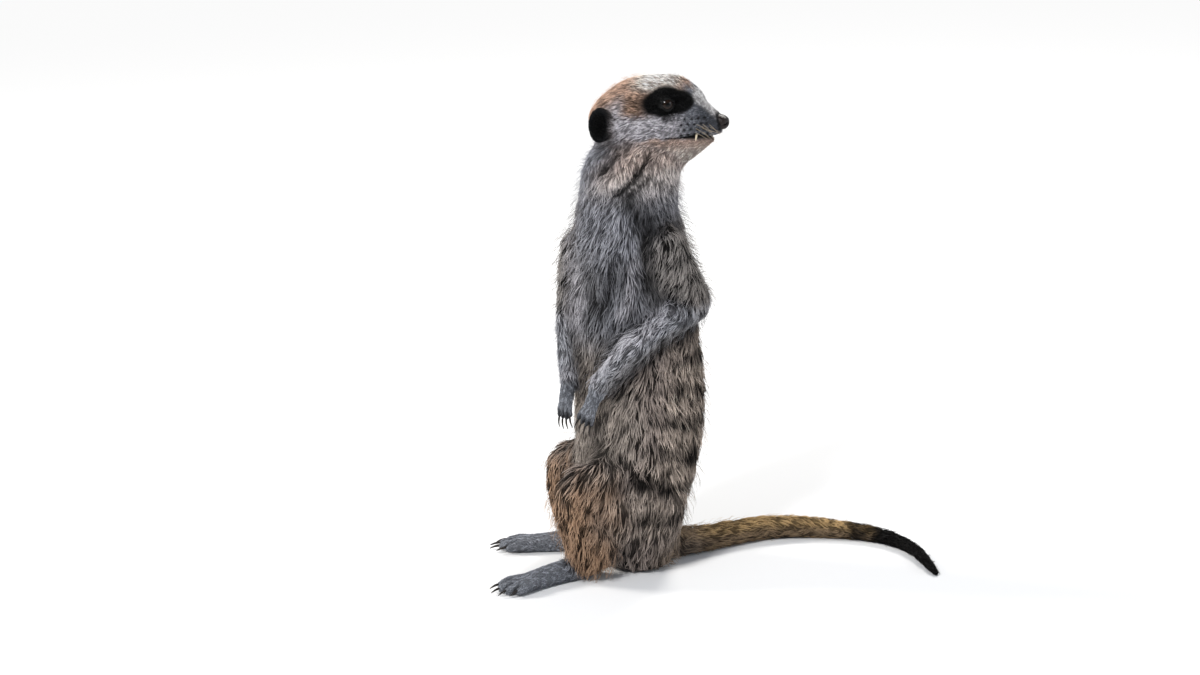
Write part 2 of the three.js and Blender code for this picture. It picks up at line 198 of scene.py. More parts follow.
def refine(bm, wanted):
    """Cuts each edge in two where both of its ends are wanted."""
    inside = wanted(np.array([v.co for v in bm.verts]))
    bm.verts.index_update()
    edges = [e for e in bm.edges if inside[e.verts[0].index] and inside[e.verts[1].index]]
    bmesh.ops.subdivide_edges(bm, edges=edges, cuts=1, use_grid_fill=True, smooth=0)
    bmesh.ops.triangulate(bm, faces=[f for f in bm.faces if len(f.verts) > 4])


def near_boxes(points, names, margin_mm):
    inside = np.zeros(len(points), bool)
    for name in names:
        low, high = box(name)
        inside |= ((points > low - margin_mm * MM) & (points < high + margin_mm * MM)).all(1)
    return inside


def on_face(points):
    a, s, h = head_mm(points).T
    return (a > -1) & (h > -22) & (a < 60) & (np.abs(s) < 40) & (h < 40)


def from_eye(points):
    """How far points are from the nearer eye."""
    return np.min([np.linalg.norm(points - at, axis=1) for at in eye_at.values()], axis=0)


def lip_line(a):
    """The height of the mouth's slit along the jaw: it dips a little towards the front."""
    return -5.7 - 0.045 * np.clip(a - 12, 0, 40) - 0.9 * eased(27, 37, a)


def on_lips(points):
    a, s, h = head_mm(points).T
    return (a > 8) & (a < 45) & (np.abs(h - lip_line(a)) < 3.4)


PAWS = [f"{kind}_{side}" for kind in ("hand", "foot") for side in SIDES]
for wanted in (on_face, lambda points: from_eye(points) < 8.5 * MM, on_lips,
               lambda points: near_boxes(points, PAWS, 0.5)):
    refine(skin_bm, wanted)
bmesh.ops.triangulate(skin_bm, faces=skin_bm.faces)
skin_mesh = mesh_from(skin_bm, "skin")
print("skin:", len(skin_mesh.vertices), "points,", len(skin_mesh.polygons), "triangles")

# %% [markdown]
# ## Neighbours
# Much of what follows is told point by point: how long the hair is, which way it lies, its colour. A value
# that jumps between parts would show as a seam. So values are smoothed over the surface: each point takes a
# share of its neighbours' mean, again and again, as ink spreads in cloth.

# %% Neighbours and smoothing
class Web:
    """The edges of a mesh, for spreading what its points carry."""

    def __init__(self, mesh):
        self.a, self.b = numbers(mesh.edges, "vertices", 2, np.int32).T
        self.size = len(mesh.vertices)
        self.degree = np.bincount(self.a, minlength=self.size) + np.bincount(self.b, minlength=self.size)

    def relaxed(self, values, share):
        """Every value moved by a share towards the mean of its neighbours."""
        columns = values.reshape(self.size, -1).T
        total = [np.bincount(self.a, c[self.b], self.size) + np.bincount(self.b, c[self.a], self.size)
                 for c in columns]
        return values + share * ((np.array(total) / self.degree).T.reshape(values.shape) - values)

    def spread(self, values, times):
        for _ in range(times):
            values = self.relaxed(values, 0.6)
        return values


web = Web(skin_mesh)
skin_points = numbers(skin_mesh.vertices, "co", 3)
print("edges in the web:", len(web.a))

# %% [markdown]
# ## What lies where
# Each point of the skin has to know which part of the body it belongs to, because the coat is long on the
# flank and short on the face. The nearest solid tells.

# %% Which part of the body
part_points, part_faces, part_of_face = [], [], []
for index, name in enumerate(FLESH):
    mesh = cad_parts[name].data
    start = len(part_points)
    part_points += [v.co.copy() for v in mesh.vertices]
    part_faces += [[start + i for i in p.vertices] for p in mesh.polygons]
    part_of_face += [index] * len(mesh.polygons)
nearest_part = BVHTree.FromPolygons(part_points, part_faces)
part = np.array(part_of_face)[[nearest_part.find_nearest(p)[2] for p in skin_points.tolist()]]
part_kind = np.array([name.removesuffix("_left").removesuffix("_right") for name in FLESH])


def on(*kinds, times=10):
    """How much a point belongs to these parts, softened at the border."""
    return web.spread(np.isin(part_kind[part], kinds).astype(float), times)


on_head = on("head", times=6)
print("points on each part:", dict(zip(FLESH, np.bincount(part).tolist())))

# %% [markdown]
# ## How deep the coat is
# The table is the furrier's note on this animal. Depth is how far the coat stands off the skin, length is
# how long one tuft is, and width how broad it is at its root. A tuft is longer than the coat is deep because
# it lies down. On the face it gets shorter and finer towards the nose and the eyes, and high on the neck it
# is short too.

# %% The furrier's table
COAT = {
    # depth, length and width in mm, tufts per square mm
    "ear": (0.35, 1.9, 0.30, 3.4),
    "head": (1.35, 4.2, 0.42, 2.9),
    "neck": (3.6, 8.4, 0.54, 1.45),
    "trunk": (4.6, 12.0, 0.76, 0.98),
    "upper_arm": (3.4, 9.0, 0.68, 1.25),
    "forearm": (2.2, 6.6, 0.60, 1.6),
    "hand": (0.5, 2.2, 0.34, 2.8),
    "thigh": (4.6, 12.0, 0.76, 0.98),
    "shin": (3.8, 10.0, 0.74, 1.15),
    "foot": (0.55, 2.5, 0.37, 2.15),
    "tail_base": (2.2, 7.5, 0.62, 1.2),
    "tail_middle": (1.7, 6.2, 0.56, 1.2),
    "tail_tip": (1.3, 6.5, 0.52, 1.4),
}
coat = web.spread(np.array([COAT[kind] for kind in part_kind])[part], 110).T.copy()
depth, length, width, crowd = coat


def trim(where, depth=0, length=0, width=0, crowd=0):
    """Changes the coat by these shares where it says so."""
    coat[:] *= 1 + np.outer((depth, length, width, crowd), where)


shorter = np.maximum(eased(-12, 30, head_mm(skin_points)[:, 0]) * on_head,
                     eased(16 * MM, 6 * MM, from_eye(skin_points)) * 0.85)
trim(shorter, depth=-0.62, length=-0.72, width=-0.40, crowd=0.75)
high_neck = on("neck", times=30) * eased(202, 232, skin_points[:, 2] / MM)
trim(high_neck, depth=-0.35, length=-0.42, width=-0.28, crowd=0.2)
print("coat depth", depth.min().round(2), "to", depth.max().round(2), "mm")

# %% [markdown]
# ## From clay to skin
# The melted surface still shows the flat faces of the solids and the steps where they met. The grooves
# between the legs and behind the head are filled first. Then the body is smoothed a lot, and the face and
# paws only a little, which keeps the fine forms. Smoothing shrinks a shape, so each pass is followed by one
# that pushes back out. Last, the skin is let in by the depth of the coat, so that the coat's tips reach the
# solids' surface.

# %% Smooth the clay and let it in
FINENESS = {"head": 0.55, "ear": 0.5, "hand": 0.25, "foot": 0.3, "tail_tip": 0.5}
LOWEST = 0.05 * MM


def normals_of(points):
    set_points(skin_mesh, points)
    return numbers(skin_mesh.vertices, "normal", 3)


def set_points(mesh, points):
    mesh.vertices.foreach_set("co", points.ravel())
    mesh.update()


def pushed(points, normals, mm):
    return points + normals * (mm * MM)[:, None]


pliable = web.spread(np.array([FINENESS.get(kind, 1.0) for kind in part_kind])[part], 10)[:, None]
legs = on("thigh", "shin", times=12)
grooves = np.maximum(4 * legs * (1 - legs) * on("thigh", "shin", "trunk", times=2),
                     4 * on("head", times=40) * on("neck", times=40))[:, None]
for _ in range(40):
    skin_points = web.relaxed(skin_points, 0.7 * grooves)
for _ in range(45):
    skin_points = web.relaxed(skin_points, 0.62 * pliable)
    skin_points = web.relaxed(skin_points, -0.60 * pliable)
skin_points = pushed(skin_points, unit(web.spread(normals_of(skin_points), 8)), -0.92 * depth)
skin_points[:, 2] = np.maximum(skin_points[:, 2], LOWEST)
print("skin height", round(skin_points[:, 2].max() / MM, 1), "mm")

# %% [markdown]
# ## Eyelids
# The eyes of a meerkat look sideways and a little ahead, and the corner by the nose sits lower than the
# outer one. So each eye gets axes of its own: the way it looks, the way to its inner corner, and the way up
# the lid.

# %% Which way each eye looks
BALL = EYE_RADIUS - 0.35 * MM
LID, INSIDE = 0.75 * MM, 0.9 * MM  # how far the lid lies over the ball, and how far open skin lies under it
FAR = 9.0
eye_axes = {}
for side, way in SIDES.items():
    gaze = unit(0.86 * way * to_left + 0.50 * ahead + 0.10 * UP)
    to_nose = unit(ahead - gaze * (ahead @ gaze))
    lid_up = unit(np.cross(to_nose, gaze))
    tilt = np.array(Matrix.Rotation(math.radians(-12) * way, 3, Vector(gaze)))
    eye_axes[side] = np.array([gaze, tilt @ to_nose, tilt @ lid_up * np.sign(lid_up[2])])
    print(f"the {side} eye looks along", gaze.round(2))

# %% [markdown]
# The skin now bulges over each eyeball without a gap. Seen from the middle of the eye, directions inside an
# almond are the opening, and there the skin is drawn back under the ball. Just outside it lies on the ball
# with the thickness of a lid, and further out it eases back into the face. A cut hole would need new faces.

# %% Open the eyes
almond_of = np.full(len(skin_points), FAR)
for side, at in eye_at.items():
    reach = skin_points - at
    distance = np.linalg.norm(reach, axis=1)
    out, along, over = (reach / distance[:, None] @ eye_axes[side].T).T
    opening = 0.60 * np.clip(1 - 0.6 * (along / 0.80) ** 2, 0.15, 1)
    almond = np.hypot(along / 0.84, over / opening)
    almond = np.where((out > 0.05) & (distance < 10 * MM), almond, FAR)
    almond_of = np.minimum(almond_of, almond)
    target = BALL - INSIDE + (LID + INSIDE) * eased(0.93, 1.10, almond)
    distance = distance + eased(2.3, 1.45, almond) * (target - distance)
    near = almond < FAR
    skin_points[near] = at + unit(reach[near]) * distance[near, None]
print("points drawn under the lids:", int((almond_of < 1).sum()))

# %% [markdown]
# ## Mouth and brows
# The lips meet in a slit that is a little open in front, where an upper canine shows. The slit is sunk into
# the skin and its edges swell. A low brow runs over each eye down to the root of the muzzle. They could be
# sculpted by hand, but one push along the normals, summed from smooth bells, keeps both sides alike.

# %% Model the lips and the brows
def bell(value, wide):
    """1 at nothing, falling away smoothly on both sides."""
    return np.exp(-(value / wide) ** 2)


skin_normals = normals_of(skin_points)
a, s, h = head_mm(skin_points).T
lip_side = on_head * eased(9, 13, a) * eased(44, 41, a)
gape = 0.6 + 1.0 * eased(20, 29, a)
from_slit = np.abs(h - lip_line(a))
slit = lip_side * bell(from_slit, gape)
lips = lip_side * bell(from_slit - 1.9 - 0.4 * gape, 0.9)
brow_start, brow_end = np.array((9, 13.5, 21)), np.array((28, 6.5, 14.5))
run = brow_end - brow_start
past_start = np.stack([a, np.abs(s), h], 1) - brow_start
nearest = np.clip(past_start @ run / (run @ run), 0, 1)[:, None] * run
brow = on_head * bell(np.linalg.norm(past_start - nearest, axis=1), 3.2)
cheekbone = on_head * bell(a - 3, 7) * bell(h - 3, 5)
raised = 0.30 * lips - (1.0 + 1.1 * eased(18, 27, a)) * slit + 1.5 * brow + 0.4 * cheekbone
skin_points = pushed(skin_points, skin_normals, raised)
print("points in the slit of the mouth:", int((slit > 0.5).sum()))

# %% [markdown]
# ## Room for the nose
# The leather of the nose will be a piece of its own. Skin that lies inside it is drawn in under its surface,
# so that the fur ends at the leather without a gap and nothing pokes through.

# %% Make room for the nose
nose_points = head_mm(np.array([v.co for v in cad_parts["nose"].data.vertices]))
nose_low, nose_high = nose_points.min(0) - (2.6, 0.4, 0.5), nose_points.max(0) + (0.2, 0.4, 0.9)
nose_mid, nose_half = (nose_low + nose_high) / 2, (nose_high - nose_low) / 2
reach = (head_mm(skin_points) - nose_mid) / nose_half
from_nose = np.linalg.norm(reach, axis=1)
facing = (reach[:, 0] + 0.3 * np.maximum(reach[:, 2], 0)) / from_nose
drawn_in = eased(0.0, 0.35, facing) * eased(1.5, 1.3, from_nose)
target = from_nose + drawn_in * (0.82 - from_nose)
skin_points = from_head(nose_mid + reach / from_nose[:, None] * target[:, None] * nose_half)
print("nose:", (nose_half * 2).round(1), "mm ahead, aside and up")

# %% [markdown]
# ## Ears
# An ear is a low shell that opens forwards. Its flat side is found as the direction in which its points are
# spread least. The skin of the side that looks ahead is pressed in, most at the middle, which leaves a rim.

# %% Hollow the ears
EAR_DISH = 2.8  # mm
skin_normals = normals_of(skin_points)
dish = np.zeros(len(skin_points))
for side in SIDES:
    mine = part == FLESH.index(f"ear_{side}")
    offset = skin_points - skin_points[mine].mean(0)
    spread, ways = np.linalg.eigh(np.cov(offset[mine].T))
    thin = ways[:, 0] * np.sign(ways[:, 0] @ ahead)
    radius = np.hypot(offset @ ways[:, 1] / spread[1] ** 0.5, offset @ ways[:, 2] / spread[2] ** 0.5)
    pressed = mine * eased(1.7, 1.0, radius) * eased(0.1, 0.7, skin_normals @ thin)
    skin_points = skin_points - (EAR_DISH * MM * pressed)[:, None] * thin
    dish = np.maximum(dish, pressed)
    print(f"ear_{side} spread", (spread ** 0.5 / MM).round(1), "mm")

# %% [markdown]
# ## Toes and fingers
# A groove runs back from between two claws and parts the toes, and behind each claw the toe swells a little.
# The claws themselves tell where these lines start and which way they run. A hand is slimmer than the mitten
# of its solid, so it is drawn together first.

# %% Part the toes
SLIM = 0.3  # the share by which a hand is slimmer than its solid
TOE, GROOVE = 1.3, 0.8  # half widths in mm


def claw_middles(paw):
    limb, side = paw.split("_")
    return [middle(f"{limb}_claw_{side}_{i}") for i in range(1, 5)]


def line_over_paw(start, pointing, sideways, wide, back):
    """1 on a line that runs back over the paw from a start, 0 away from it."""
    offset = skin_points - start
    along = -(offset @ pointing) / MM
    return bell(offset @ sideways / MM, wide) * eased(-4, 1, along) * eased(back, 5, along)


skin_normals = normals_of(skin_points)
parting, toe_swell, fingertip = np.zeros((3, len(skin_points)))
hand_frames = {}
for paw in PAWS:
    claws = claw_middles(paw)
    claw_mean = sum(claws) / 4
    pointing = unit(claw_mean - middle(paw))
    sideways = claws[3] - claws[0]
    sideways = unit(sideways - pointing * (sideways @ pointing))
    is_hand = paw.startswith("hand")
    if is_hand:
        offset = skin_points - claw_mean
        mine = near_boxes(skin_points, [paw], 2)
        slimmer = SLIM * mine * on("hand", times=12) * (offset @ sideways)
        skin_points = skin_points - np.outer(slimmer, sideways)
        fingertip = np.maximum(fingertip, mine * eased(11, 4, -(offset @ pointing) / MM))
        hand_frames[paw] = (claw_mean, sideways)
        claws = [claw - sideways * ((claw - claw_mean) @ sideways * SLIM) for claw in claws]
    gaps = [(one + two) / 2 for one, two in zip(claws, claws[1:])]
    shape = (pointing, sideways)
    back_mm = 12 if is_hand else 17
    mine = near_boxes(skin_points, [paw], 3)
    toe_swell += mine * sum(line_over_paw(claw, *shape, TOE, back_mm) for claw in claws)
    parting += mine * sum(line_over_paw(gap, *shape, GROOVE, back_mm) for gap in gaps)
skin_points = pushed(skin_points, skin_normals, 0.35 * toe_swell - 1.8 * np.clip(parting, 0, 1))
trim(near_boxes(skin_points, PAWS, 2) * np.clip(parting + toe_swell, 0, 1), depth=-0.4, length=-0.35)
print("points between the toes:", int((parting > 0.5).sum()))

# %% [markdown]
# ## Folds of the twisted neck
# The head is turned so far that the loose skin of the throat gathers in slanting folds. Each is a line over
# the skin, given by a point and a run from it, as seen from the side that the throat faces. On the line the
# skin sinks and beside it it swells. Simulated cloth would fold too, but not where the folds are wanted.

# %% Wring the neck's skin
SEEN_FROM = math.radians(68)
TO_VIEWER = np.array((math.sin(SEEN_FROM), -math.cos(SEEN_FROM), 0))
ACROSS = np.array((math.cos(SEEN_FROM), math.sin(SEEN_FROM), 0))
throat = middle("neck")
FOLDS = [
    # across and height of the start, run across and up, width, depth (mm)
    (13.5, 14, -18, -21, 2.4, 2.6),
    (13, 4, -13, -12, 1.7, 1.8),
    (-5, 15, -9, -12, 1.5, 0.9),
]


def beside_line(points, x, z, dx, dz):
    """How far points lie from a line over the front of the body, and whether they lie between its ends."""
    offset = points - throat
    across, height = offset @ ACROSS / MM - x, offset[:, 2] / MM - z
    facing = eased(-4, 10, offset @ TO_VIEWER / MM)
    run = math.hypot(dx, dz)
    along = (across * dx + height * dz) / run
    beside = (across * dz - height * dx) / run - 0.008 * (along - run / 2) ** 2
    return beside, eased(-5, 2, along) * eased(run + 5, run - 2, along) * facing


def fold_depth(points):
    """How deep each point lies in a fold, from 0 to 1, and the push that the folds give."""
    crease, push = np.zeros((2, len(points)))
    for x, z, dx, dz, wide, deep in FOLDS:
        beside, within = beside_line(points, x, z, dx, dz)
        valley = bell(beside, wide)
        banks = bell(np.abs(beside) - 2.2 * wide, wide)
        crease = np.maximum(crease, within * valley)
        push += deep * within * (0.55 * banks - valley)
    return crease, push


crease, push = fold_depth(skin_points)
skin_points = pushed(skin_points, normals_of(skin_points), push)
print("points in the folds:", int((crease > 0.5).sum()))

# %% [markdown]
# ## The lie of the coat
# Hair grows backwards and downwards, so that rain runs off it. Each part gets one direction: back along the
# head, down the neck and the trunk, along each limb to its toes and along the tail to its tip. Combing each
# tuft by hand could do the same, but a rule keeps the parts alike.

# %% One direction for each part
def flat(vector):
    return unit(vector * (1, 1, 0))


down = -UP
leg_ahead = {side: flat(sum(claw_middles(f"foot_{side}")) / 4 - middle(f"foot_{side}")) for side in SIDES}
LIE = {"head": -ahead, "neck": down, "trunk": down,
       "tail_base": unit(middle("tail_middle") - middle("tail_base")),
       "tail_middle": unit(middle("tail_tip") - middle("tail_middle"))}
LIE["tail_tip"] = LIE["tail_middle"]
for side, way in SIDES.items():
    forearm = middle(f"forearm_{side}")
    for paw in (f"hand_{side}", f"foot_{side}"):
        LIE[paw] = unit(sum(claw_middles(paw)) / 4 - middle(paw))
    LIE[f"forearm_{side}"] = unit(middle(f"hand_{side}") - forearm)
    LIE[f"upper_arm_{side}"] = unit(forearm - middle(f"upper_arm_{side}")) + 0.5 * down
    LIE[f"thigh_{side}"] = down + 0.28 * leg_ahead["left"]
    LIE[f"shin_{side}"] = down + 0.15 * leg_ahead["left"]
    LIE[f"ear_{side}"] = 0.4 * way * to_left - ahead + 0.7 * UP
flow = unit(np.array([LIE[name] for name in FLESH]))[part]
print("directions:", len(LIE))

# %% [markdown]
# Behind the cheek the hair turns down into the neck, and round the root of the tail the coat of the rump
# leans out along the tail. Spread over the surface, the directions turn into a smooth flow, and what points
# into or out of the skin is taken away. Over a fold of the neck the hair is short, so that the fold stays
# open.

# %% The flow of the hair
a, s, h = head_mm(skin_points).T
droop = eased(6, -26, a) * 1.2 + eased(2, -16, h) * 0.45
tail_way = LIE["tail_base"]
tail_root = middle("tail_base") - tail_way * np.ptp(box("tail_base"), axis=0).max() / 2
from_tail = np.linalg.norm(skin_points - tail_root, axis=1) / MM
leaning = on("trunk") * eased(44, 16, from_tail)
flow += np.outer(on_head * droop, down) + 1.5 * np.outer(leaning, tail_way)
skin_normals = unit(web.spread(normals_of(skin_points), 4))
for _ in range(3):
    flow = web.spread(flow, 12)
    flow = unit(flow - (flow * skin_normals).sum(1)[:, None] * skin_normals)
over_fold = np.maximum(crease, fold_depth(skin_points + flow * 4.5 * MM)[0])
trim(over_fold, depth=-0.6, length=-0.6)
print("flow ready for", len(flow), "points")

# %% [markdown]
# ## Where the back is
# The trunk is twisted, so its back faces another way at every height. The table says how far the body has
# turned at each height above the floor. A point then belongs to the back as far as its normal points away
# from the belly: 1 is the spine and -1 the middle of the belly.

# %% How far round the body
TWIST = np.array([  # height in mm, turn in degrees counted from the hips
    (0, -10), (44, -8), (85, 2), (108, 12), (137, 25), (160, 35), (192, 48), (206, 64), (219, 92), (233, 128),
    (250, 147)])
heights = skin_points[:, 2] / MM
turned = np.radians(np.interp(heights, *TWIST.T))
belly_way = np.stack([np.sin(turned), -np.cos(turned), 0 * turned], 1)
back = -(unit(web.spread(skin_normals, 60)) * belly_way).sum(1)
print("share of the skin that is back:", round(float((back > 0.4).mean()), 2))

# %% [markdown]
# ## The palette
# A meerkat is pale and grizzled. Its back is darker, the front of its thighs is rusty, and the ears, a patch
# round each eye and the end of the tail are black. Colours are written as a painter mixes them and turned
# into the linear numbers that Blender counts in. Coats of paint are laid over one another, each with a share
# that says how strongly it covers every point, and clouds of noise break up their borders. Painting points
# instead of a texture keeps skin and tufts alike, because a tuft takes the colour of the spot where it is
# rooted.

# %% Colours and how they are laid
def tone(code):
    srgb = np.array([int(code[i:i + 2], 16) for i in (0, 2, 4)]) / 255
    return np.where(srgb > 0.04045, ((srgb + 0.055) / 1.055) ** 2.4, srgb / 12.92)


def mixed(a, b, share):
    share = np.asarray(share)[..., None]
    return a * (1 - share) + b * share


# Some colours stand in for light. The near-black paints dark marks and also painted shade. muzzle is painted
# shade on the sides of the muzzle, and bridge is a painted highlight. brow and throat are pale colours
# brightened by painted highlights, and ear_rim is a touch lighter than black for a painted sheen.
PALETTE = {name: tone(code) for name, code in {
    "back": "554c44", "flank": "665d58", "rust": "80644b", "belly": "7f7770", "chest": "66676c",
    "nape": "7f8086", "cheek": "aeabb0", "crown": "9c8272", "brow": "dcd1c8", "temple": "80695a",
    "muzzle": "4a4c52", "bridge": "e0dcda", "whisker_pad": "7d7f86", "jaw": "b69f93", "throat": "d6cac2",
    "black": "020202", "ear_rim": "101114", "shoulder": "615d5a", "forearm": "84858a", "paw": "868990",
    "tail_top": "a0855c", "tail": "6e5d49", "soot": "0d0b0a", "bar": "b0a296",
}.items()}


def layered(base, *coats, within=1):
    """Lays coats of colour over one another: the name of each, and how strongly it covers, from 0 to 1."""
    for colour, share in coats:
        base = mixed(base, PALETTE[colour], np.clip(within * share, 0, 1))
    return base


WAVES = np.random.default_rng(5).normal(size=(14, 3))
PHASES = np.random.default_rng(6).uniform(0, TURN, 14)


def soft_noise(points, grain_mm):
    """A cloudy value between 0 and 1 for each point, from a sum of waves."""
    turns = points @ WAVES.T / (grain_mm * MM) * 1.6 + PHASES
    return 0.5 + 0.5 * np.tanh(np.sin(turns).sum(1) / 2.6)


cloud = soft_noise(skin_points, 14) - 0.5
speckle = soft_noise(skin_points * [1, 1, 0.5], 4) - 0.5
print("colours:", len(PALETTE), "clouds from", cloud.min().round(2), "to", cloud.max().round(2))

# %% [markdown]
# ## The trunk and the neck
# The belly is pale brown, the breast and the nape grey, and the flanks and the back darker. The throat is
# the palest, a pale colour brightened by a painted highlight, and the loose skin under the jaw is pinkish
# where the hair is thin.

# %% Paint the trunk and the neck
tint = layered(
    np.tile(PALETTE["belly"], (len(part), 1)),
    ("chest", eased(118, 145, heights)),
    ("nape", eased(172, 196, heights)),
    ("flank", eased(-0.75, -0.15, back + 0.2 * cloud)),
    ("back", eased(-0.05, 0.7, back + 0.35 * cloud)),
    ("nape", on("neck", "trunk", times=14) * eased(178, 222, heights + 12 * cloud)),
    # The throat's pale colour, brightened as a painted highlight.
    ("throat", on("neck", times=14) * eased(208, 230, heights) * eased(0.25, -0.45, back) * 0.62),
    ("jaw", on("neck", "head", times=14) * eased(222, 236, heights + 6 * cloud)
     * eased(0.5, -0.2, back) * 0.6))
for side in SIDES:
    from_arm = np.linalg.norm((skin_points - middle(f"upper_arm_{side}")) * [1, 1, 0.8], axis=1) / MM
    tint = layered(tint, ("shoulder", eased(34, 17, from_arm + 8 * cloud) * 0.55))
tint = layered(tint, ("shoulder", on("upper_arm", times=40) * 0.9))
print("mean colour", tint.mean(0).round(3))

# %% [markdown]
# ## Painted shade and highlight on the breast
# Between the arms and in front of the near shoulder, dark streaks of painted shade and pale streaks of
# painted highlight stand in for the way the light falls. Each is a line as the folds of the neck are, painted
# and not pressed in.

# %% Paint the streaks of shade and highlight
SHADE_AND_HIGHLIGHT_STREAKS = [
    # across and height of the start, run across and up, width (mm), colour, share
    (-2, -40, -13, -34, 5.5, "soot", 0.6),
    (-26, -36, 1, -50, 3.5, "cheek", 0.5),
    (5, -42, -5, -30, 2.4, "cheek", 0.55),
    (7, -8, 7, -50, 4.5, "soot", 0.8),
    (-25, -16, 2, -4, 3, "soot", 0.5),
    (13, -10, -1, -28, 5.5, "soot", 0.62),
]
# Dark streaks are painted shade and pale ones painted highlight.
for *line, wide, colour, share in SHADE_AND_HIGHLIGHT_STREAKS:
    beside, within = beside_line(skin_points, *line)
    tint = layered(tint, (colour, within * bell(beside + 3 * speckle, wide) * share))
print("streaks:", len(SHADE_AND_HIGHLIGHT_STREAKS))

# %% [markdown]
# ## The arms and the legs
# A forearm gets a painted highlight where its skin faces up and painted shade where it faces down. The paws
# are grey. The front of the lower thigh is rusty: how far a point lies ahead of the thigh's middle is
# measured for each leg by itself.

# %% Paint the arms and the legs
forearm, thigh, upwards = on("forearm"), on("thigh", "shin"), skin_normals[:, 2]
knee = np.zeros(len(part))
for side in SIDES:
    mine = np.isin(part, [FLESH.index(f"thigh_{side}"), FLESH.index(f"shin_{side}")])
    knee += mine * ((skin_points - middle(f"thigh_{side}")) @ leg_ahead[side]) / MM
front = eased(2, 22, knee + 14 * cloud) * eased(66, 48, heights + 8 * speckle)
tint = layered(
    tint,
    ("forearm", forearm),
    # Painted highlight on the upper side of the forearm, painted shade on its underside.
    ("cheek", forearm * eased(-0.1, 0.6, upwards + 0.5 * cloud) * 0.5),
    ("shoulder", forearm * eased(0.0, -0.6, upwards) * 0.6),
    ("paw", on("hand", "foot")),
    ("flank", thigh * 0.8),
    ("rust", thigh * front * 0.7))
print("rusty points:", int((thigh * front > 0.5).sum()))

# %% [markdown]
# ## Bands and tail
# Narrow dark bands lie across the back, a finger's breadth apart with pale bars between them, and fade
# towards the neck. A cosine of the height gives them, bent by noise. The tail is tan, darker below, grey
# where it leaves the rump, and black at its end.

# %% Paint the bands and the tail
BAND, LOWEST_BAND = 17.5, 37  # mm
wave = heights + 6 * (soft_noise(skin_points, 16) - 0.5) + 5 * back
band = eased(-0.25, 0.45, np.cos((wave - LOWEST_BAND) / BAND * TURN) + 0.8 * speckle)
banded = (on("trunk", "thigh", times=20) * eased(-0.3, 0.2, back)
          * eased(190, 105, heights) * eased(18, 30, heights))
tail = on("tail_base", "tail_middle", "tail_tip", times=14)
tail_end = (box("tail_tip")[1] - skin_points)[:, 1] / MM
tint = layered(
    tint,
    ("bar", banded * (1 - band) * 0.6),
    ("soot", banded * band),
    ("tail", tail),
    ("tail_top", tail * eased(-0.1, 0.7, upwards) * 0.8),
    ("flank", tail * eased(42, 14, from_tail + 10 * speckle) * 0.65),
    ("tail", leaning * (1 - tail) * eased(0.3, 0.9, leaning + 0.5 * speckle) * 0.5),
    ("soot", on("tail_tip", "tail_middle") * eased(34, 14, tail_end + 10 * speckle)))
print("banded points:", int((banded > 0.5).sum()))

# %% [markdown]
# ## The head
# The cheek is pale grey, the crown and the temple tan, the brow nearly white and brightened further by a
# painted highlight. The sides of the muzzle are painted dark as shade, and the bridge is painted white as a
# highlight that widens before the eye. All limits are millimetres on the head's own axes.

# %% Paint the head
a, s, h = head_mm(skin_points).T
aside, behind = np.abs(s), np.maximum(-a - 12, 0)
tint = layered(
    tint,
    ("cheek", 1),
    ("temple", eased(4, 9, h) * eased(9, -3, a) * eased(-16, -8, a)),
    ("nape", eased(2, 16, behind + 5 * cloud) * 0.8),
    ("crown", eased(11, 19, h + 0.9 * behind + 6 * cloud) * eased(30, 18, a)),
    # The pale brow, brightened as a painted highlight.
    ("brow", eased(17, 22, h + 5 * cloud) * eased(20, 12, a) * eased(-12, 2, a)),
    ("whisker_pad", eased(16, 24, a) * eased(2.5, 5, aside)),
    # Painted shade on the sides of the muzzle.
    ("muzzle", eased(24, 31, a) * eased(2.5, 5, aside) * eased(-6, -2, h) * 0.9),
    # Painted highlight along the bridge and, widening, before the eye.
    ("bridge", eased(20, 28, a) * eased(3.8, 1.8, aside) * eased(0, 4, h)),
    ("bridge", eased(23, 26, a) * eased(-1, 2, h - 14.5 + 0.85 * (a - 24)) * 0.75),
    within=on_head)
print("mean colour", tint.mean(0).round(3))

# %% [markdown]
# The whiskers grow from rows of small dark spots, each row shifted by half a step against the next. Below
# the slit of the mouth lies the pinkish jaw, and behind it the pale throat.

# %% Paint the lip
ROW, ROW_SHIFT, SPOT = 3, 1.6, 3.3  # mm: the height of a row, its shift and the step between two spots
row = (h + 4.4) / ROW
spots = np.cos(row * TURN) + np.cos((a + ROW_SHIFT * np.round(row)) / SPOT * TURN)
on_lip = (row > -0.4) * (row < 3.4) * eased(16, 19, a) * eased(36, 33, a) * eased(3, 5, aside)
below_slit = lip_line(a) - h
tint = layered(
    tint,
    ("soot", eased(0.6, 1.3, spots) * on_lip * 0.95),
    ("jaw", eased(-1.0, 1.4, below_slit + 2 * speckle) * eased(-16, 4, a)),
    # The throat's pale colour, brightened as a painted highlight.
    ("throat", eased(2, 10, below_slit) * eased(-26, -8, a) * 0.8),
    within=on_head)
print("points in spots:", int((on_head * spots * on_lip > 1).sum()))

# %% [markdown]
# Round each eye lies the black patch that keeps the glare of the desert sun out of it: an oval, fuller than
# an ellipse and narrower at its ends. Ears and fingertips are dark as well. An ear's rim is a touch lighter,
# a painted sheen, and its dish black with painted shade. The slit of the mouth is darkened for the dark lips
# and with painted shade in it, and the folds of the neck are darkened with painted shade.

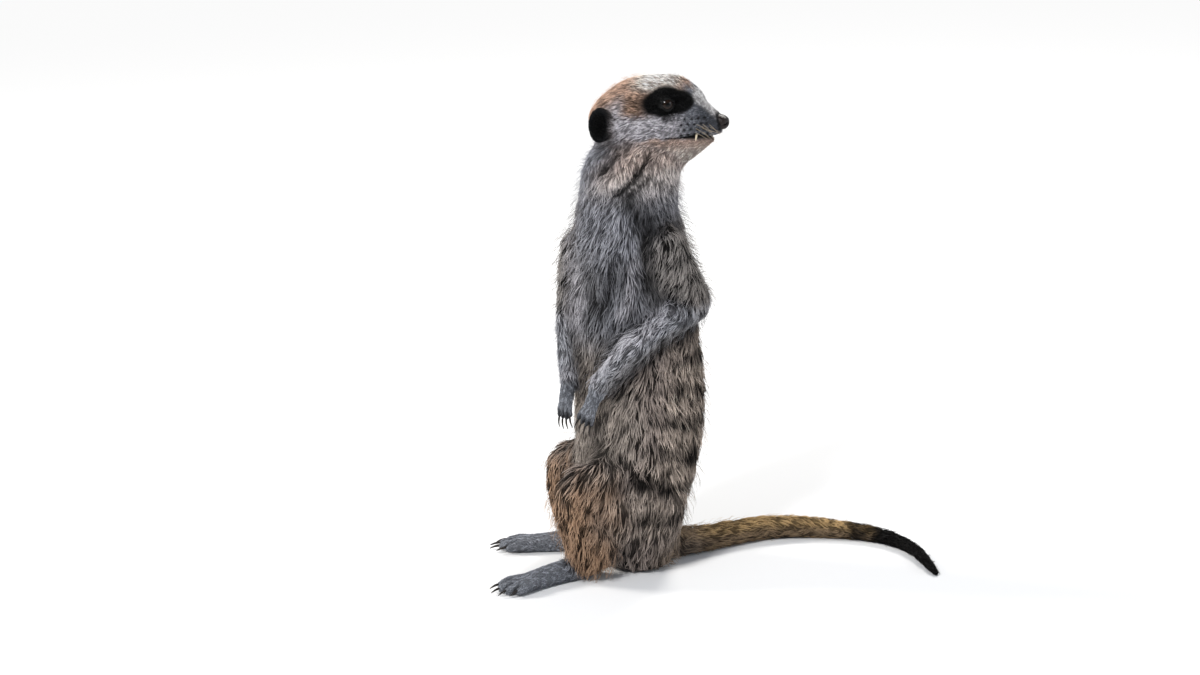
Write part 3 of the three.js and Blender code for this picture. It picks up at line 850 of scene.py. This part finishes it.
# %% Paint the black parts and the shade in the folds
PATCH_AT, PATCH_HALF, FULLNESS = (11.4, 13.6), (14.6, 7.6), 2.3
along = (a - PATCH_AT[0]) / PATCH_HALF[0]
over = (h - PATCH_AT[1] - 1.0 * np.cos(along * 2)) / (PATCH_HALF[1] * (1 - 0.3 * np.clip(along, -1, 1) ** 2))
oval = (np.abs(along) ** FULLNESS + np.abs(over) ** FULLNESS) ** (1 / FULLNESS)
patch = eased(1.10, 0.84, oval + 0.20 * speckle) * eased(4.5, 7.5, aside) * on_head
ear = on("ear", times=4)
tint = layered(
    tint,
    ("black", patch),
    # The ear's rim a touch lighter than black as a painted sheen, its dish black as painted shade.
    ("ear_rim", ear),
    ("black", web.spread(dish, 2)),
    # The slit of the mouth: dark lips and painted shade in the slit.
    ("soot", slit * 1.3),
    ("soot", fingertip * 0.75),
    ("soot", eased(1.5, 1.1, from_nose + 0.2 * speckle)),
    # Painted shade in the folds of the neck.
    ("soot", np.clip(crease * (1 + 0.6 * speckle), 0, 0.8)))
print("points in the patches:", int((patch > 0.5).sum()))

# %% [markdown]
# ## Creases
# Less light reaches the hair in a crease, so creases and the grooves between the toes are darkened with
# painted shade. A point lies in a crease where the average of its wide surroundings stands further out than
# the point itself. Low down, where thigh meets trunk, the coat closes over the crease and it gets less
# painted shade.

# %% Paint shade into the creases
sunken = ((web.spread(skin_points, 60) - skin_points) * skin_normals).sum(1) / MM
crease_shade = web.spread(eased(0.08, 0.9, sunken), 3)
overgrown = on("thigh", "shin", "trunk") * eased(75, 60, heights)
# Painted shade: darker in the grooves between the toes and in creases.
shade = (1 - 0.6 * np.clip(parting, 0, 1)) * (1 - 0.55 * crease_shade * (1 - 0.75 * overgrown))
tint = tint * shade[:, None]
print("points in creases:", int((crease_shade > 0.5).sum()))

# %% [markdown]
# ## How much it is grizzled
# Single hairs are ringed dark and pale, which gives salt and pepper from afar. The share tells how far the
# tufts differ from one another. It is largest on the back and the upper arms and nothing on the black parts.

# %% Grizzle
black = np.clip(patch + ear + on("tail_tip") * eased(30, 14, tail_end), 0, 1)
grizzle = 0.5 + 0.5 * eased(-0.8, -0.1, back) * on("trunk", "neck") * eased(215, 150, heights)
grizzle += 0.5 * on("upper_arm") + 0.26 * thigh - 0.18 * on("hand", "foot") - 0.05 * tail
grizzle += on_head * (0.15 * eased(8, 16, h) * eased(26, 16, a) - 0.08 * eased(8, 2, h))
grizzle *= (1 - 0.5 * banded * (0.4 + 0.6 * band)) * (1 - 0.85 * black)
print("grizzle", grizzle.min().round(2), "to", grizzle.max().round(2))

# %% [markdown]
# ## Stray hairs
# A few long hairs stand out of every coat and catch the light along its edge. They are many in the ruff of
# the throat, on the nape, behind the arms and on the knees, and few where the neck is folded.

# %% Stray hairs
stray = 0.05 + 0.13 * on("neck", times=30) + 0.10 * on("upper_arm", times=30)
stray += 0.06 * on("shin", "forearm", times=20) + 0.05 * on("trunk", times=20) * eased(150, 185, heights)
stray += 0.06 * on_head * eased(8, 18, h) * eased(26, 14, a)
stray *= 1 - 0.6 * np.clip(2 * crease, 0, 1)
print("share of stray hairs:", stray.min().round(2), "to", stray.max().round(2))

# %% [markdown]
# ## Materials
# A material is a small machine of nodes. `Wire` wraps one output of it. Adding or multiplying wires lays the
# Math node that does it, so that the sums below read like sums on paper. Any other node is made by `node`,
# from its type, its settings, and what goes into its sockets.

# %% Wires
class Wire:
    def __init__(self, tree, socket=None):
        self.tree, self.socket = tree, socket

    def plug(self, socket, value):
        if isinstance(value, Wire):
            self.tree.links.new(value.socket, socket)
        else:
            socket.default_value = value

    def node(self, kind, settings=(), sockets=(), out=0):
        made = self.tree.nodes.new(kind)
        for name, value in dict(settings).items():
            setattr(made, name, value)
        for name, value in dict(sockets).items():
            self.plug(made.inputs[name], value)
        return Wire(self.tree, made.outputs[out])

    def __add__(self, other):
        return self.node("ShaderNodeMath", {"operation": "ADD"}, {0: self, 1: other})

    def __mul__(self, other):
        return self.node("ShaderNodeMath", {"operation": "MULTIPLY"}, {0: self, 1: other})

    __radd__, __rmul__ = __add__, __mul__

    def tinted(self, factor):
        """A colour times a number, done on all three channels."""
        return self.node("ShaderNodeVectorMath", {"operation": "SCALE"}, {0: self, "Scale": factor})

    def blend(self, low, high):
        """A colour between two, as this wire goes from 0 to 1."""
        ends = {0: self, 6: (*low, 1), 7: (*high, 1)}
        return self.node("ShaderNodeMix", {"data_type": "RGBA"}, ends, out=2)

    def between(self, low, high):
        """Eases a value between two limits into 0 to 1."""
        return self.node("ShaderNodeMapRange", {"interpolation_type": "SMOOTHSTEP"},
                         {"Value": self, "From Min": low, "From Max": high})


class Matter:
    """A material with one Principled shader, and the wires that feed it."""

    def __init__(self, name, **constants):
        self.material = bpy.data.materials.new(name)
        self.material.use_nodes = True
        self.tree = self.material.node_tree
        self.shader = self.tree.nodes["Principled BSDF"]
        self.wire = Wire(self.tree)
        for socket, value in constants.items():
            self.shader.inputs[socket.replace("_", " ")].default_value = value

    def place(self):
        return self.wire.node("ShaderNodeTexCoord", out="Object")

    def cloud(self, scale, detail=3.0):
        return self.wire.node("ShaderNodeTexNoise", {},
                              {"Vector": self.place(), "Scale": scale, "Detail": detail, "Roughness": 0.6})

    def tint(self):
        return self.wire.node("ShaderNodeAttribute", {"attribute_name": "tint"}, out="Color")

    def feed(self, socket, value):
        self.wire.plug(self.shader.inputs[socket], value)
        return self

    def bump(self, height, strength, distance_mm):
        settings = {"Height": height, "Strength": strength, "Distance": distance_mm * MM}
        return self.feed("Normal", self.wire.node("ShaderNodeBump", {}, settings, out="Normal"))


# %% [markdown]
# Fur scatters light and hardly shines. The eye is wet and smooth, the leather of the nose grained and a
# little greasy, and horn and ivory are polished by use. Colours come from the points of each mesh, and a
# fine cloud keeps them from looking even.

# %% The materials of the animal
skin_look = Matter("short fur and skin", Roughness=0.72, Specular_IOR_Level=0.25)
streaks = skin_look.cloud(1500, 2.0)
skin_look.feed("Base Color", skin_look.tint().tinted(0.72 + 0.56 * streaks)).bump(streaks, 0.6, 0.25)

coat_look = Matter("coat", Roughness=0.62, Specular_IOR_Level=0.10)
coat_look.feed("Base Color", coat_look.tint().tinted(0.88 + 0.24 * coat_look.cloud(700, 1.0)))

eye_look = Matter("eye", Roughness=0.05, IOR=1.38, Specular_IOR_Level=0.3)
eye_look.feed("Base Color", eye_look.tint().tinted(0.8 + 0.4 * eye_look.cloud(900)))

nose_look = Matter("nose leather", Specular_IOR_Level=0.28)
grain = nose_look.cloud(1900, 2.0)
nose_look.feed("Base Color", nose_look.tint().tinted(0.7 + 0.6 * grain))
nose_look.feed("Roughness", 0.34 + 0.2 * grain).bump(grain, 0.5, 0.25)

horn_look = Matter("claw horn", Specular_IOR_Level=0.3)
horn = horn_look.cloud(600)
horn_look.feed("Base Color", horn.blend(tone("14100e"), tone("2e2723"))).feed("Roughness", 0.42 + 0.2 * horn)

ivory_look = Matter("tooth", Specular_IOR_Level=0.5)
enamel = ivory_look.cloud(500)
ivory_look.feed("Base Color", enamel.blend(tone("d3bd98"), tone("e9dfc8")))
ivory_look.feed("Roughness", 0.22 + 0.1 * enamel)
print("materials:", [m.name for m in bpy.data.materials])

# %% [markdown]
# ## The finished skin
# The points go back into the mesh with their colours, toned down because skin lies in the shade of the fur.
# The skin takes the place of every flesh part of the solids. Each finished piece rides on the still body.

# %% Hand over the skin
def keep(obj):
    """Ties a finished piece to the body."""
    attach(obj, "root")
    return obj


def give_tint(mesh, colours):
    layer = mesh.color_attributes.new("tint", "FLOAT_COLOR", "POINT")
    layer.data.foreach_set("color", np.column_stack([colours, np.ones(len(colours))]).ravel())


def smooth(mesh):
    mesh.polygons.foreach_set("use_smooth", np.ones(len(mesh.polygons), bool))


set_points(skin_mesh, skin_points)
smooth(skin_mesh)
give_tint(skin_mesh, tint * 0.62)
skin = keep(piece("skin", skin_mesh, skin_look.material))
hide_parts(*FLESH)
print("skin:", len(skin_mesh.polygons), "triangles")

# %% [markdown]
# ## Where hair grows
# Roots are sown in proportion to the area of each triangle and to how crowded the coat is there. Eyes, lips,
# nose and the surfaces that rest on the floor stay bare. Blender's own hair could do this too, but it makes
# curves.

# %% Sow the roots
triangles = numbers(skin_mesh.polygons, "vertices", 3, np.int32)
corner = skin_points[triangles]
centroid = corner.mean(1)
edge = corner[:, 1:] - corner[:, :1]
area = np.linalg.norm(np.cross(edge[:, 0], edge[:, 1]), axis=1) / 2 / MM ** 2
triangle_part = part[triangles[:, 0]]
flat_on_floor = corner.max(1)[:, 2] < 0.6 * MM
bare = (almond_of < 1.12) | ((from_nose < 1.04) & (facing > -0.3)) | (drawn_in > 0.5) | (slit > 0.45)
sown = area * crowd[triangles].mean(1) * ~(bare[triangles].any(1) | flat_on_floor)


def sow(chosen):
    """Roots spread over the chosen triangles: the triangle of each and its share of the three corners."""
    weight = np.cumsum(sown * chosen)
    count = int(weight[-1])
    at = np.searchsorted(weight, (np.arange(count) + chance.random(count)) * weight[-1] / count)
    u, v = chance.random((2, count))
    flip = u + v > 1
    u, v = np.where(flip, 1 - u, u), np.where(flip, 1 - v, v)
    return at, np.stack([1 - u - v, u, v], 1)


print("skin area", round(area.sum() / 100), "square cm, tufts wanted", round(sown.sum()))

# %% [markdown]
# ## A tuft
# A tuft is a few hairs that cling together: a flat strand with a low ridge, wide at the root and ending in a
# point. Long coat gets three rings and a tip, so that it can bend, and short coat two and a tip. The root
# sits under the skin. Each further ring asks the skin for its nearest point and stands above that, so that a
# tuft never dives into the body.

# %% Shape the tufts
LONG = {"steps": (0, 0.36, 0.72, 1), "rise": (-0.12, 0.62, 0.95, 1.0),
        "width": (0.8, 1.0, 0.66, 0), "leaders": 0.14}
SHORT = {"steps": (0, 0.5, 1), "rise": (-0.15, 0.85, 1.0), "width": (0.9, 0.8, 0), "leaders": 0.2}
OVER_FLOOR = 0.4 * MM
skin_tree = BVHTree.FromPolygons(skin_points.tolist(), triangles.tolist())


def on_skin(points):
    """The nearest points of the skin, the way out of it there, and the colour it has there."""
    places, ways, found, _ = zip(*(skin_tree.find_nearest(p) for p in points.tolist()))
    return np.array(places), np.array(ways), tint[triangles[list(found), 0]]


def strand_rings(root, lie, normal, base, reach, height, wide, form):
    """Three points round each ring of every strand, last the tips; and the skin's colour under each ring."""
    rings, under = [], []
    for step, rise, breadth in zip(form["steps"], form["rise"], form["width"]):
        centre, out, below = root, normal, base
        if step:
            centre, out, below = on_skin(root + lie * (reach * step)[:, None])
        centre = centre + out * (height * rise)[:, None]
        centre[:, 2] = np.maximum(centre[:, 2], OVER_FLOOR)
        under.append(0.3 * base + 0.7 * below)
        if breadth:
            side = unit(np.cross(out, lie)) * (wide * breadth / 2)[:, None]
            ridge = out * (wide * breadth * 0.35)[:, None]
            rings.append(np.stack([centre - side, centre + side, centre + ridge], 1))
    return np.concatenate(rings + [centre[:, None]], 1), under


def strand_faces(rings):
    """The triangles of one strand: its foot, its walls and its tip."""
    around = ((0, 1), (1, 2), (2, 0))
    last = 3 * rings - 3
    faces = [(0, 2, 1)]
    for low in range(0, last, 3):
        for i, j in around:
            faces += [(low + i, low + j, low + j + 3), (low + i, low + j + 3, low + i + 3)]
    return np.array(faces + [(last + i, last + j, last + 3) for i, j in around])


print("long tuft:", len(strand_faces(3)), "triangles; short tuft:", len(strand_faces(2)))

# %% [markdown]
# ## The colour of a tuft
# Each tuft gets its own colour from its root, made lighter or darker by the grizzle. Near its root it is
# darkened with painted shade, as little light reaches deep into the coat, and its tip is pale or dark. That
# is how a real guard hair is ringed.

# %% Colours of the tufts
BRIGHTEST = 0.86


def strand_colours(under, mottle, pale, form):
    """A colour for each ring and the tip of every strand, from dark (pale is -1) to pale (1)."""
    change = (1 + np.clip(mottle, 0, 1.05) * np.where(pale > 0, 1.25 * pale, 0.9 * pale))[:, None]
    colours = []
    for step, base in zip(form["steps"], under):
        out_of_root_shade, to_tip = min(1, step / 0.5), max(0, (step - 0.5) / 0.5)
        # Painted shade: a tuft is darkest at its root and has its own colour from halfway out.
        ring = base * change * (0.4 + 0.6 * out_of_root_shade)
        ring = ring * (1 + mottle * to_tip * np.where(pale > 0, 0.8 * pale, 0.5 * pale))[:, None]
        colours += [np.minimum(ring, BRIGHTEST)] * (1 if step == 1 else 3)
    return np.stack(colours, 1)


print("a tuft's tip is at most", BRIGHTEST)

# %% [markdown]
# ## The map of a coat
# Every coat piece gets a map, so that its colours can be baked. The skin below is unrolled round an axis:
# how far round gives one direction, and how far along the other. Each tuft is a patch of its own at its
# root's place.

# %% Map of the tufts
PATCH = 0.0015  # half the width of a tuft's patch, as a share of the map


def unrolled(points, origin, axis, round_form):
    """Where points lie on the skin unrolled round an axis, each way from 0 to 1."""
    axis = unit(axis)
    side = unit(np.cross(axis, [0.31, 0.74, 0.6]))
    other = np.cross(axis, side)
    away = points - origin
    around = np.arctan2(away @ other, away @ side) / TURN + 0.5
    along = away @ axis
    if round_form:
        along = np.arccos(np.clip(along / np.linalg.norm(away, axis=1), -1, 1))
    place = np.stack([around, (along - along.min()) / np.ptp(along)], 1)
    return place * 0.98 + 0.01


def strand_map(at, form):
    """The map of every strand's rings and tip: a small patch, wide at the root, round its place."""
    shifts = []
    for step in form["steps"][:-1]:
        level = PATCH * (2 * step - 1)
        shifts += [(-PATCH, level), (PATCH, level - 0.3 * PATCH), (0.2 * PATCH, level + 0.3 * PATCH)]
    shifts.append((0, PATCH * 1.1))
    return at[:, None] + np.array(shifts)


print("points on the map of a long tuft:", strand_map(np.zeros((1, 2)), LONG).shape[1])

# %% [markdown]
# ## From arrays to a mesh
# A mesh of many thousand tufts would take minutes to build face by face. Filled straight from the arrays it
# takes a moment. The map is stored as a layer named OFBake.

# %% Weave the strands into one mesh
def strand_mesh(name, rings, colours, places, form):
    faces = strand_faces(len(form["steps"]) - 1)
    count, per = rings.shape[:2]
    corners = (faces + np.arange(count)[:, None, None] * per).reshape(-1)
    mesh = bpy.data.meshes.new(name)
    mesh.vertices.add(count * per)
    mesh.vertices.foreach_set("co", rings.ravel())
    mesh.loops.add(len(corners))
    mesh.loops.foreach_set("vertex_index", corners.astype(np.int32))
    mesh.polygons.add(len(corners) // 3)
    mesh.polygons.foreach_set("loop_start", np.arange(0, len(corners), 3, dtype=np.int32))
    smooth(mesh)
    mesh.update(calc_edges=True)
    give_tint(mesh, colours.reshape(-1, 3))
    layer = mesh.uv_layers.new(name="OFBake")
    layer.data.foreach_set("uv", strand_map(places, form).reshape(-1, 2)[corners].ravel())
    print(name, len(mesh.polygons), "triangles")
    return mesh


# %% [markdown]
# ## Locks
# Single tufts would look combed. On the real animal neighbours stick together at their ends. A share of the
# tufts are leaders, every other tuft leans towards the nearest one, and a lock shares its paleness.

# %% Gather the tufts into locks
CLING = 0.82  # how far a tuft leans over to the leader of its lock


def gathered(root, lie, reach, leading):
    """Tufts lean together into locks: the new lie of each, and how pale its lock is, from 0 to 1."""
    leaders = np.nonzero(chance.random(len(root)) < leading)[0]
    finder = KDTree(len(leaders))
    for i, p in enumerate(root[leaders].tolist()):
        finder.insert(p, i)
    finder.balance()
    lock = np.array([finder.find(p)[1] for p in root.tolist()])
    over = root[leaders][lock] - root
    over -= lie * (over * lie).sum(1)[:, None]
    return unit(lie * reach[:, None] + CLING * over), chance.random(len(leaders))[lock]


# %% [markdown]
# ## The tufts of one part
# At each root the traits of the skin are read: how long, deep and wide the tuft is, which way it lies and
# how grizzled it is. Chance varies them. A stray hair stands up higher, is thinner and is always pale.

# %% Grow the tufts of one part
def grown(chosen, form):
    """The rings, the colours and the roots of the tufts on the chosen triangles."""
    at, share = sow(chosen)

    def here(values):
        return np.einsum("ij,ij...->i...", share, values[triangles[at]])

    root, normal, lie, strays = here(skin_points), unit(here(skin_normals)), here(flow), here(stray)
    sway = 22 * (soft_noise(root, 11) - 0.5) + 26 * (soft_noise(root, 4) - 0.5)
    swing = np.tan(np.radians(sway + chance.normal(0, 8, len(at))))
    lie = unit(lie + np.cross(normal, lie) * swing[:, None])
    reach = here(length) * chance.uniform(0.72, 1.18, len(at)) * MM
    lie, lock = gathered(root, lie, reach, form["leaders"])
    pale = np.clip(3.5 - 7.6 * (0.68 * lock + 0.32 * chance.random(len(at))), -1, 1)
    guard = chance.random(len(at)) < strays
    pale[guard] = 0.8
    tall = chance.uniform(1.3, 1.8 + 6 * strays)
    height = here(depth) * MM * np.where(guard, tall, chance.uniform(0.35, 0.85, len(at)) + 0.15 * pale)
    wide = here(width) * np.where(guard, 0.45, chance.uniform(0.75, 1.25, len(at))) * MM
    rings, under = strand_rings(root, lie, normal, here(tint), reach, height, wide, form)
    return rings, strand_colours(under, here(grizzle), pale, form), root


# %% [markdown]
# ## The coat, piece by piece
# The coat is made in pieces, as a furrier would cut it, so that no piece grows too heavy. The lists say
# which parts a piece covers and whether its hair is long. Each part of a piece gets its own column on the
# map.

# %% Grow the coat, piece by piece
def grow(name, parts, form, round_form=False, only=True):
    rings, colours, places = [], [], []
    for column, names in enumerate(parts):
        shape, shades, root = grown(np.isin(triangle_part, [FLESH.index(n) for n in names]) & only, form)
        start, end = middle(names[0]), middle(names[-1])
        axis = UP if round_form or len(names) == 1 else end - start
        place = unrolled(root, start, axis, round_form)
        place[:, 0] = (column + place[:, 0]) / len(parts)
        rings.append(shape)
        colours.append(shades)
        places.append(place)
    mesh = strand_mesh(name, *map(np.concatenate, (rings, colours, places)), form)
    keep(piece(name, mesh, coat_look.material))


def both(*kinds):
    return [[f"{kind}_{side}" for kind in kinds] for side in SIDES]


fore = head_mm(centroid)[:, 0] > 8
grow("coat_face", [["head"]], SHORT, round_form=True, only=fore)
grow("coat_crown", [["head"]], SHORT, round_form=True, only=~fore)
grow("coat_ears", both("ear"), SHORT, round_form=True)
grow("coat_neck", [["neck"]], LONG)
grow("coat_arms", both("upper_arm", "forearm"), LONG)
grow("coat_hands", both("hand"), SHORT, round_form=True)
grow("coat_feet", both("foot"), SHORT, round_form=True)
grow("coat_legs", both("thigh", "shin"), LONG)
grow("coat_tail", [["tail_base", "tail_middle", "tail_tip"]], LONG)
level = centroid[:, 2] / MM
for index, (low, high) in enumerate(((-1, 60), (60, 110), (110, 160), (160, 400))):
    grow(f"coat_trunk_{index + 1}", [["trunk"]], LONG, only=(level >= low) & (level < high))

# %% [markdown]
# ## Whiskers
# A few stiff whiskers stand on the upper lip and the chin. Each is a strand with more rings, rooted in the
# skin, that leaves it outwards and bends back and down under its own weight.

# %% Whiskers
WHISKER = {"steps": (0, 0.15, 0.35, 0.55, 0.75, 1), "width": (1, 0.95, 0.8, 0.62, 0.42, 0)}
SUNK = 0.04  # the share of a whisker that is rooted in the skin
roots, ways, spans = [], [], []
for way in SIDES.values():
    for n in range(13):
        low = n >= 9
        chin_spot = 27 + 3.2 * (n - 9), -12 + 1.0 * (n - 9)
        lip_spot = 27 + 4.2 * (n % 3), -3.6 + 2.4 * (n // 3)
        a, h = chin_spot if low else lip_spot
        guess = from_head(np.array((a + chance.uniform(-0.6, 0.6), way * 12, h)))
        roots.append(skin_tree.find_nearest(guess)[0])
        sink = chance.uniform(0.5, 1.0) if low else chance.uniform(0.1, 0.6)
        ways.append(ahead * chance.uniform(0.9, 1.5) + to_left * way * chance.uniform(0.3, 0.8) - UP * sink)
        spans.append(chance.uniform(7, 11) if low else chance.uniform(9, 15))
roots, ways, spans = np.array(roots), unit(np.array(ways)), np.array(spans)[:, None] * MM
rings = []
for step, breadth in zip(WHISKER["steps"], WHISKER["width"]):
    centre = roots + ways * (step - SUNK) * spans + (down - ahead * 0.3) * spans * 0.16 * step ** 2
    if breadth:
        side = unit(np.cross(ways, UP)) * 0.11 * MM * breadth
        ridge = unit(np.cross(side, ways)) * 0.19 * MM * breadth
        rings.append(np.stack([centre - side, centre + side, centre + ridge], 1))
rings = np.concatenate(rings + [centre[:, None]], 1)
shades = np.tile(tone("b3a48f"), (*rings.shape[:2], 1))
whisker_mesh = strand_mesh("whiskers", rings, shades, unrolled(roots, skull_at, UP, True), WHISKER)
keep(piece("whiskers", whisker_mesh, coat_look.material))

# %% [markdown]
# ## Eyes
# A meerkat's eye is so dark that the iris hardly differs from the pupil. What makes it alive is a wet
# surface with a slightly bulging cornea, and a pupil that is a lying oval. The eye is a ball whose pole
# looks out of the head, so colours and bulge follow from how far a point is from that pole.

# %% Eyes
def ball(name, segments=64):
    """A ball of radius 1 whose pole points along the first axis: its mesh, and its points to be placed."""
    bm = bmesh.new()
    bmesh.ops.create_uvsphere(bm, u_segments=segments, v_segments=segments // 2, radius=1)
    points = np.array([v.co for v in bm.verts])[:, [2, 0, 1]]
    bmesh.ops.triangulate(bm, faces=bm.faces)
    bmesh.ops.recalc_face_normals(bm, faces=bm.faces)
    return mesh_from(bm, name), points


for side, at in eye_at.items():
    mesh, points = ball(f"eyeball_{side}")
    outward, across, over = points.T
    from_pole, open_side = np.hypot(across, over), outward > 0
    pupil = np.hypot(across / 0.34, over / 0.24)
    colours = mixed(tone("1c110b"), tone("030303"), eased(1.15, 0.9, pupil))
    colours = mixed(colours, tone("0a0807"), eased(0.88, 1.0, from_pole / 0.62))
    colours = np.where(open_side[:, None], colours, tone("0a0807"))
    cornea = 1 + 0.045 * eased(0.66, 0.1, from_pole) * open_side
    if np.linalg.det(eye_axes[side]) < 0:
        mesh.flip_normals()
    set_points(mesh, at + (points * (BALL * cornea)[:, None]) @ eye_axes[side])
    smooth(mesh)
    give_tint(mesh, colours)
    eyeball = keep(piece(f"eyeball_{side}", mesh, eye_look.material))
    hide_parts(f"eye_{side}")
    print(f"eyeball_{side}", len(mesh.polygons), "triangles")

# %% [markdown]
# ## Nose
# The leather of the nose is a small rounded pad with a groove down its middle and a comma-shaped nostril at
# each side. It is a ball made squarer, narrowed below, dented, and pressed into the box of the solid nose.

# %% Nose
SQUARENESS = 2.6
mesh, points = ball("nose_leather", 96)
points = points / (np.abs(points) ** SQUARENESS).sum(1)[:, None] ** (1 / SQUARENESS)
front, left, high = points.T
beside = np.abs(left)
nostril = bell(beside - 0.52, 0.17) * bell(high + 0.05, 0.24) * (front > 0)
comma = bell(beside - 0.80, 0.14) * bell(high + 0.22 + 0.3 * (beside - 0.8), 0.13)
groove = bell(left, 0.07) * eased(0.35, -0.1, high) * (front > 0)
dent = np.maximum(0.42 * nostril, 0.30 * comma) + 0.13 * groove
shaped = points * (1 - dent)[:, None]
shaped[:, 1] *= 1 - 0.28 * eased(0.2, -1, high)
shaped[:, 2] -= 0.22 * (shaped[:, 0] + 0.4) * eased(-0.4, 1, shaped[:, 2])
set_points(mesh, from_head(nose_mid + shaped * nose_half))
smooth(mesh)
# The nostrils and the groove are painted darker, as shade in the dents.
give_tint(mesh, mixed(tone("1c1310"), tone("030202"), np.clip(dent / 0.3, 0, 1)))
nose = keep(piece("nose_leather", mesh, nose_look.material))
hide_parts("nose")
print("nose:", len(mesh.polygons), "triangles")

# %% [markdown]
# ## Claws and teeth
# The solid claws and teeth are cones with few sides. A copy of each is rounded by a Subdivision Surface,
# which pulls the sharp edges into the smooth curve of horn. The solid claws reach out of the coat, so the
# copies are drawn in towards their roots, and those of a hand follow the slimmer hand.

# %% Claws and teeth
def shortened(mesh, paw, share):
    """Draws a claw's points in towards its root, the end nearer to the paw, and follows the slimmer hand."""
    points = numbers(mesh.vertices, "co", 3)
    root = points[np.linalg.norm(points - middle(paw), axis=1).argmin()]
    shift = np.zeros(3)
    if paw in hand_frames:
        centre, sideways = hand_frames[paw]
        shift = -sideways * ((root - centre) @ sideways * SLIM)
    set_points(mesh, root + (points - root) * share + shift)


def rounded(name, nodes, material, share=None):
    bm = bmesh.new()
    for node in nodes:
        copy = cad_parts[node].data.copy()
        if share:
            limb, _, side, _ = node.split("_")
            shortened(copy, f"{limb}_{side}", share[limb])
        bm.from_mesh(copy)
    bmesh.ops.remove_doubles(bm, verts=bm.verts, dist=0.001 * MM)
    bmesh.ops.dissolve_limit(bm, angle_limit=0.01, verts=bm.verts, edges=bm.edges)
    obj = piece(name, mesh_from(bm, name), material)
    soft = obj.modifiers.new("rounding", "SUBSURF")
    soft.levels = soft.render_levels = 2
    obj.data = finished(obj)
    obj.modifiers.clear()
    smooth(obj.data)
    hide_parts(*nodes)
    print(name, len(obj.data.polygons), "faces")
    keep(obj)


CLAWS = [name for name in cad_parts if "claw" in name]
rounded("claws", CLAWS, horn_look.material, share={"hand": 0.72, "foot": 0.85})
rounded("canines", ["canine_left", "canine_right"], ivory_look.material)

# %% [markdown]
# ## The floor
# The animal sits on a plain pale floor. With the distance from the middle a second shader that glows is
# mixed in, so that the floor turns into an even white and no horizon shows.

# %% Floor
bm = bmesh.new()
bmesh.ops.create_grid(bm, x_segments=1, y_segments=1, size=6)
floor_look = Matter("floor", Roughness=0.9, Specular_IOR_Level=0.1)
floor_look.feed("Base Color", floor_look.cloud(3).blend((0.79, 0.79, 0.79), (0.81, 0.81, 0.81)))
tree = floor_look.tree
glow = floor_look.wire.node("ShaderNodeEmission", {}, {"Color": (1, 1, 1, 1), "Strength": 0.96})
far = floor_look.wire.node(
    "ShaderNodeVectorMath", {"operation": "LENGTH"}, {0: floor_look.place()}, out="Value")
both_ways = floor_look.wire.node("ShaderNodeMixShader", {}, {
    0: far.between(0.5, 1.6), 1: Wire(tree, floor_look.shader.outputs[0]), 2: glow})
tree.links.new(both_ways.socket, tree.nodes["Material Output"].inputs["Surface"])
floor = piece("floor", mesh_from(bm, "floor"), floor_look.material)
print("faces of the floor:", len(floor.data.polygons))

# %% [markdown]
# ## The light
# Four soft lamps model the animal: a large one in front, a weaker one on the other side, and two behind that
# draw the pale rim along the back. The backdrop is white for the eye only, so that it does not flood the
# shadows with light.

# %% Lamps
def lamp(name, at, size, watts, colour=(1, 1, 1), target=(0, 0, 0.14)):
    light = bpy.data.lights.new(name, "AREA")
    light.shape, light.size, light.energy, light.color = "DISK", size, watts, colour
    obj = bpy.data.objects.new(name, light)
    obj.location = at
    obj.rotation_euler = (Vector(at) - Vector(target)).to_track_quat("Z", "Y").to_euler()
    bpy.context.collection.objects.link(obj)


lamp("key", (1.1, -1.3, 1.6), 0.45, 38)
lamp("fill", (1.0, 1.5, 0.8), 1.2, 10, (0.92, 0.96, 1))
lamp("rim left", (-0.9, -1.3, 1.0), 0.6, 26, (1, 0.97, 0.92))
lamp("rim right", (-1.1, 1.0, 1.4), 0.6, 26, (1, 0.97, 0.92))

world = bpy.data.worlds.new("studio")
world.use_nodes = True
bpy.context.scene.world = world
sky = world.node_tree.nodes["Background"]
to_eye = Wire(world.node_tree).node("ShaderNodeLightPath", out="Is Camera Ray")
to_eye.plug(sky.inputs["Color"], to_eye.blend((0.80, 0.87, 1), (1, 1, 1)))
to_eye.plug(sky.inputs["Strength"], 0.30 + 0.64 * to_eye)
print("lamps:", [light.name for light in bpy.data.lights])

# %% [markdown]
# ## The camera
# A long lens from four metres away keeps the animal's proportions. The camera stands ahead of its left side,
# looks slightly down, and aims at the middle of the body.

# %% Camera
AWAY = 4  # metres
look = Vector((-0.896, 0.362, -0.259)).normalized()
camera = bpy.data.objects.new("camera", bpy.data.cameras.new("camera"))
camera.location = Vector((-32, -41, 126.4)) * MM - look * AWAY
camera.rotation_euler = look.to_track_quat("-Z", "Y").to_euler()
camera.data.sensor_width, camera.data.lens = 36, 216.6
bpy.context.collection.objects.link(camera)
bpy.context.scene.camera = camera
bpy.context.scene.view_settings.view_transform = "Standard"
print("camera at", [round(v, 2) for v in camera.location], "m")
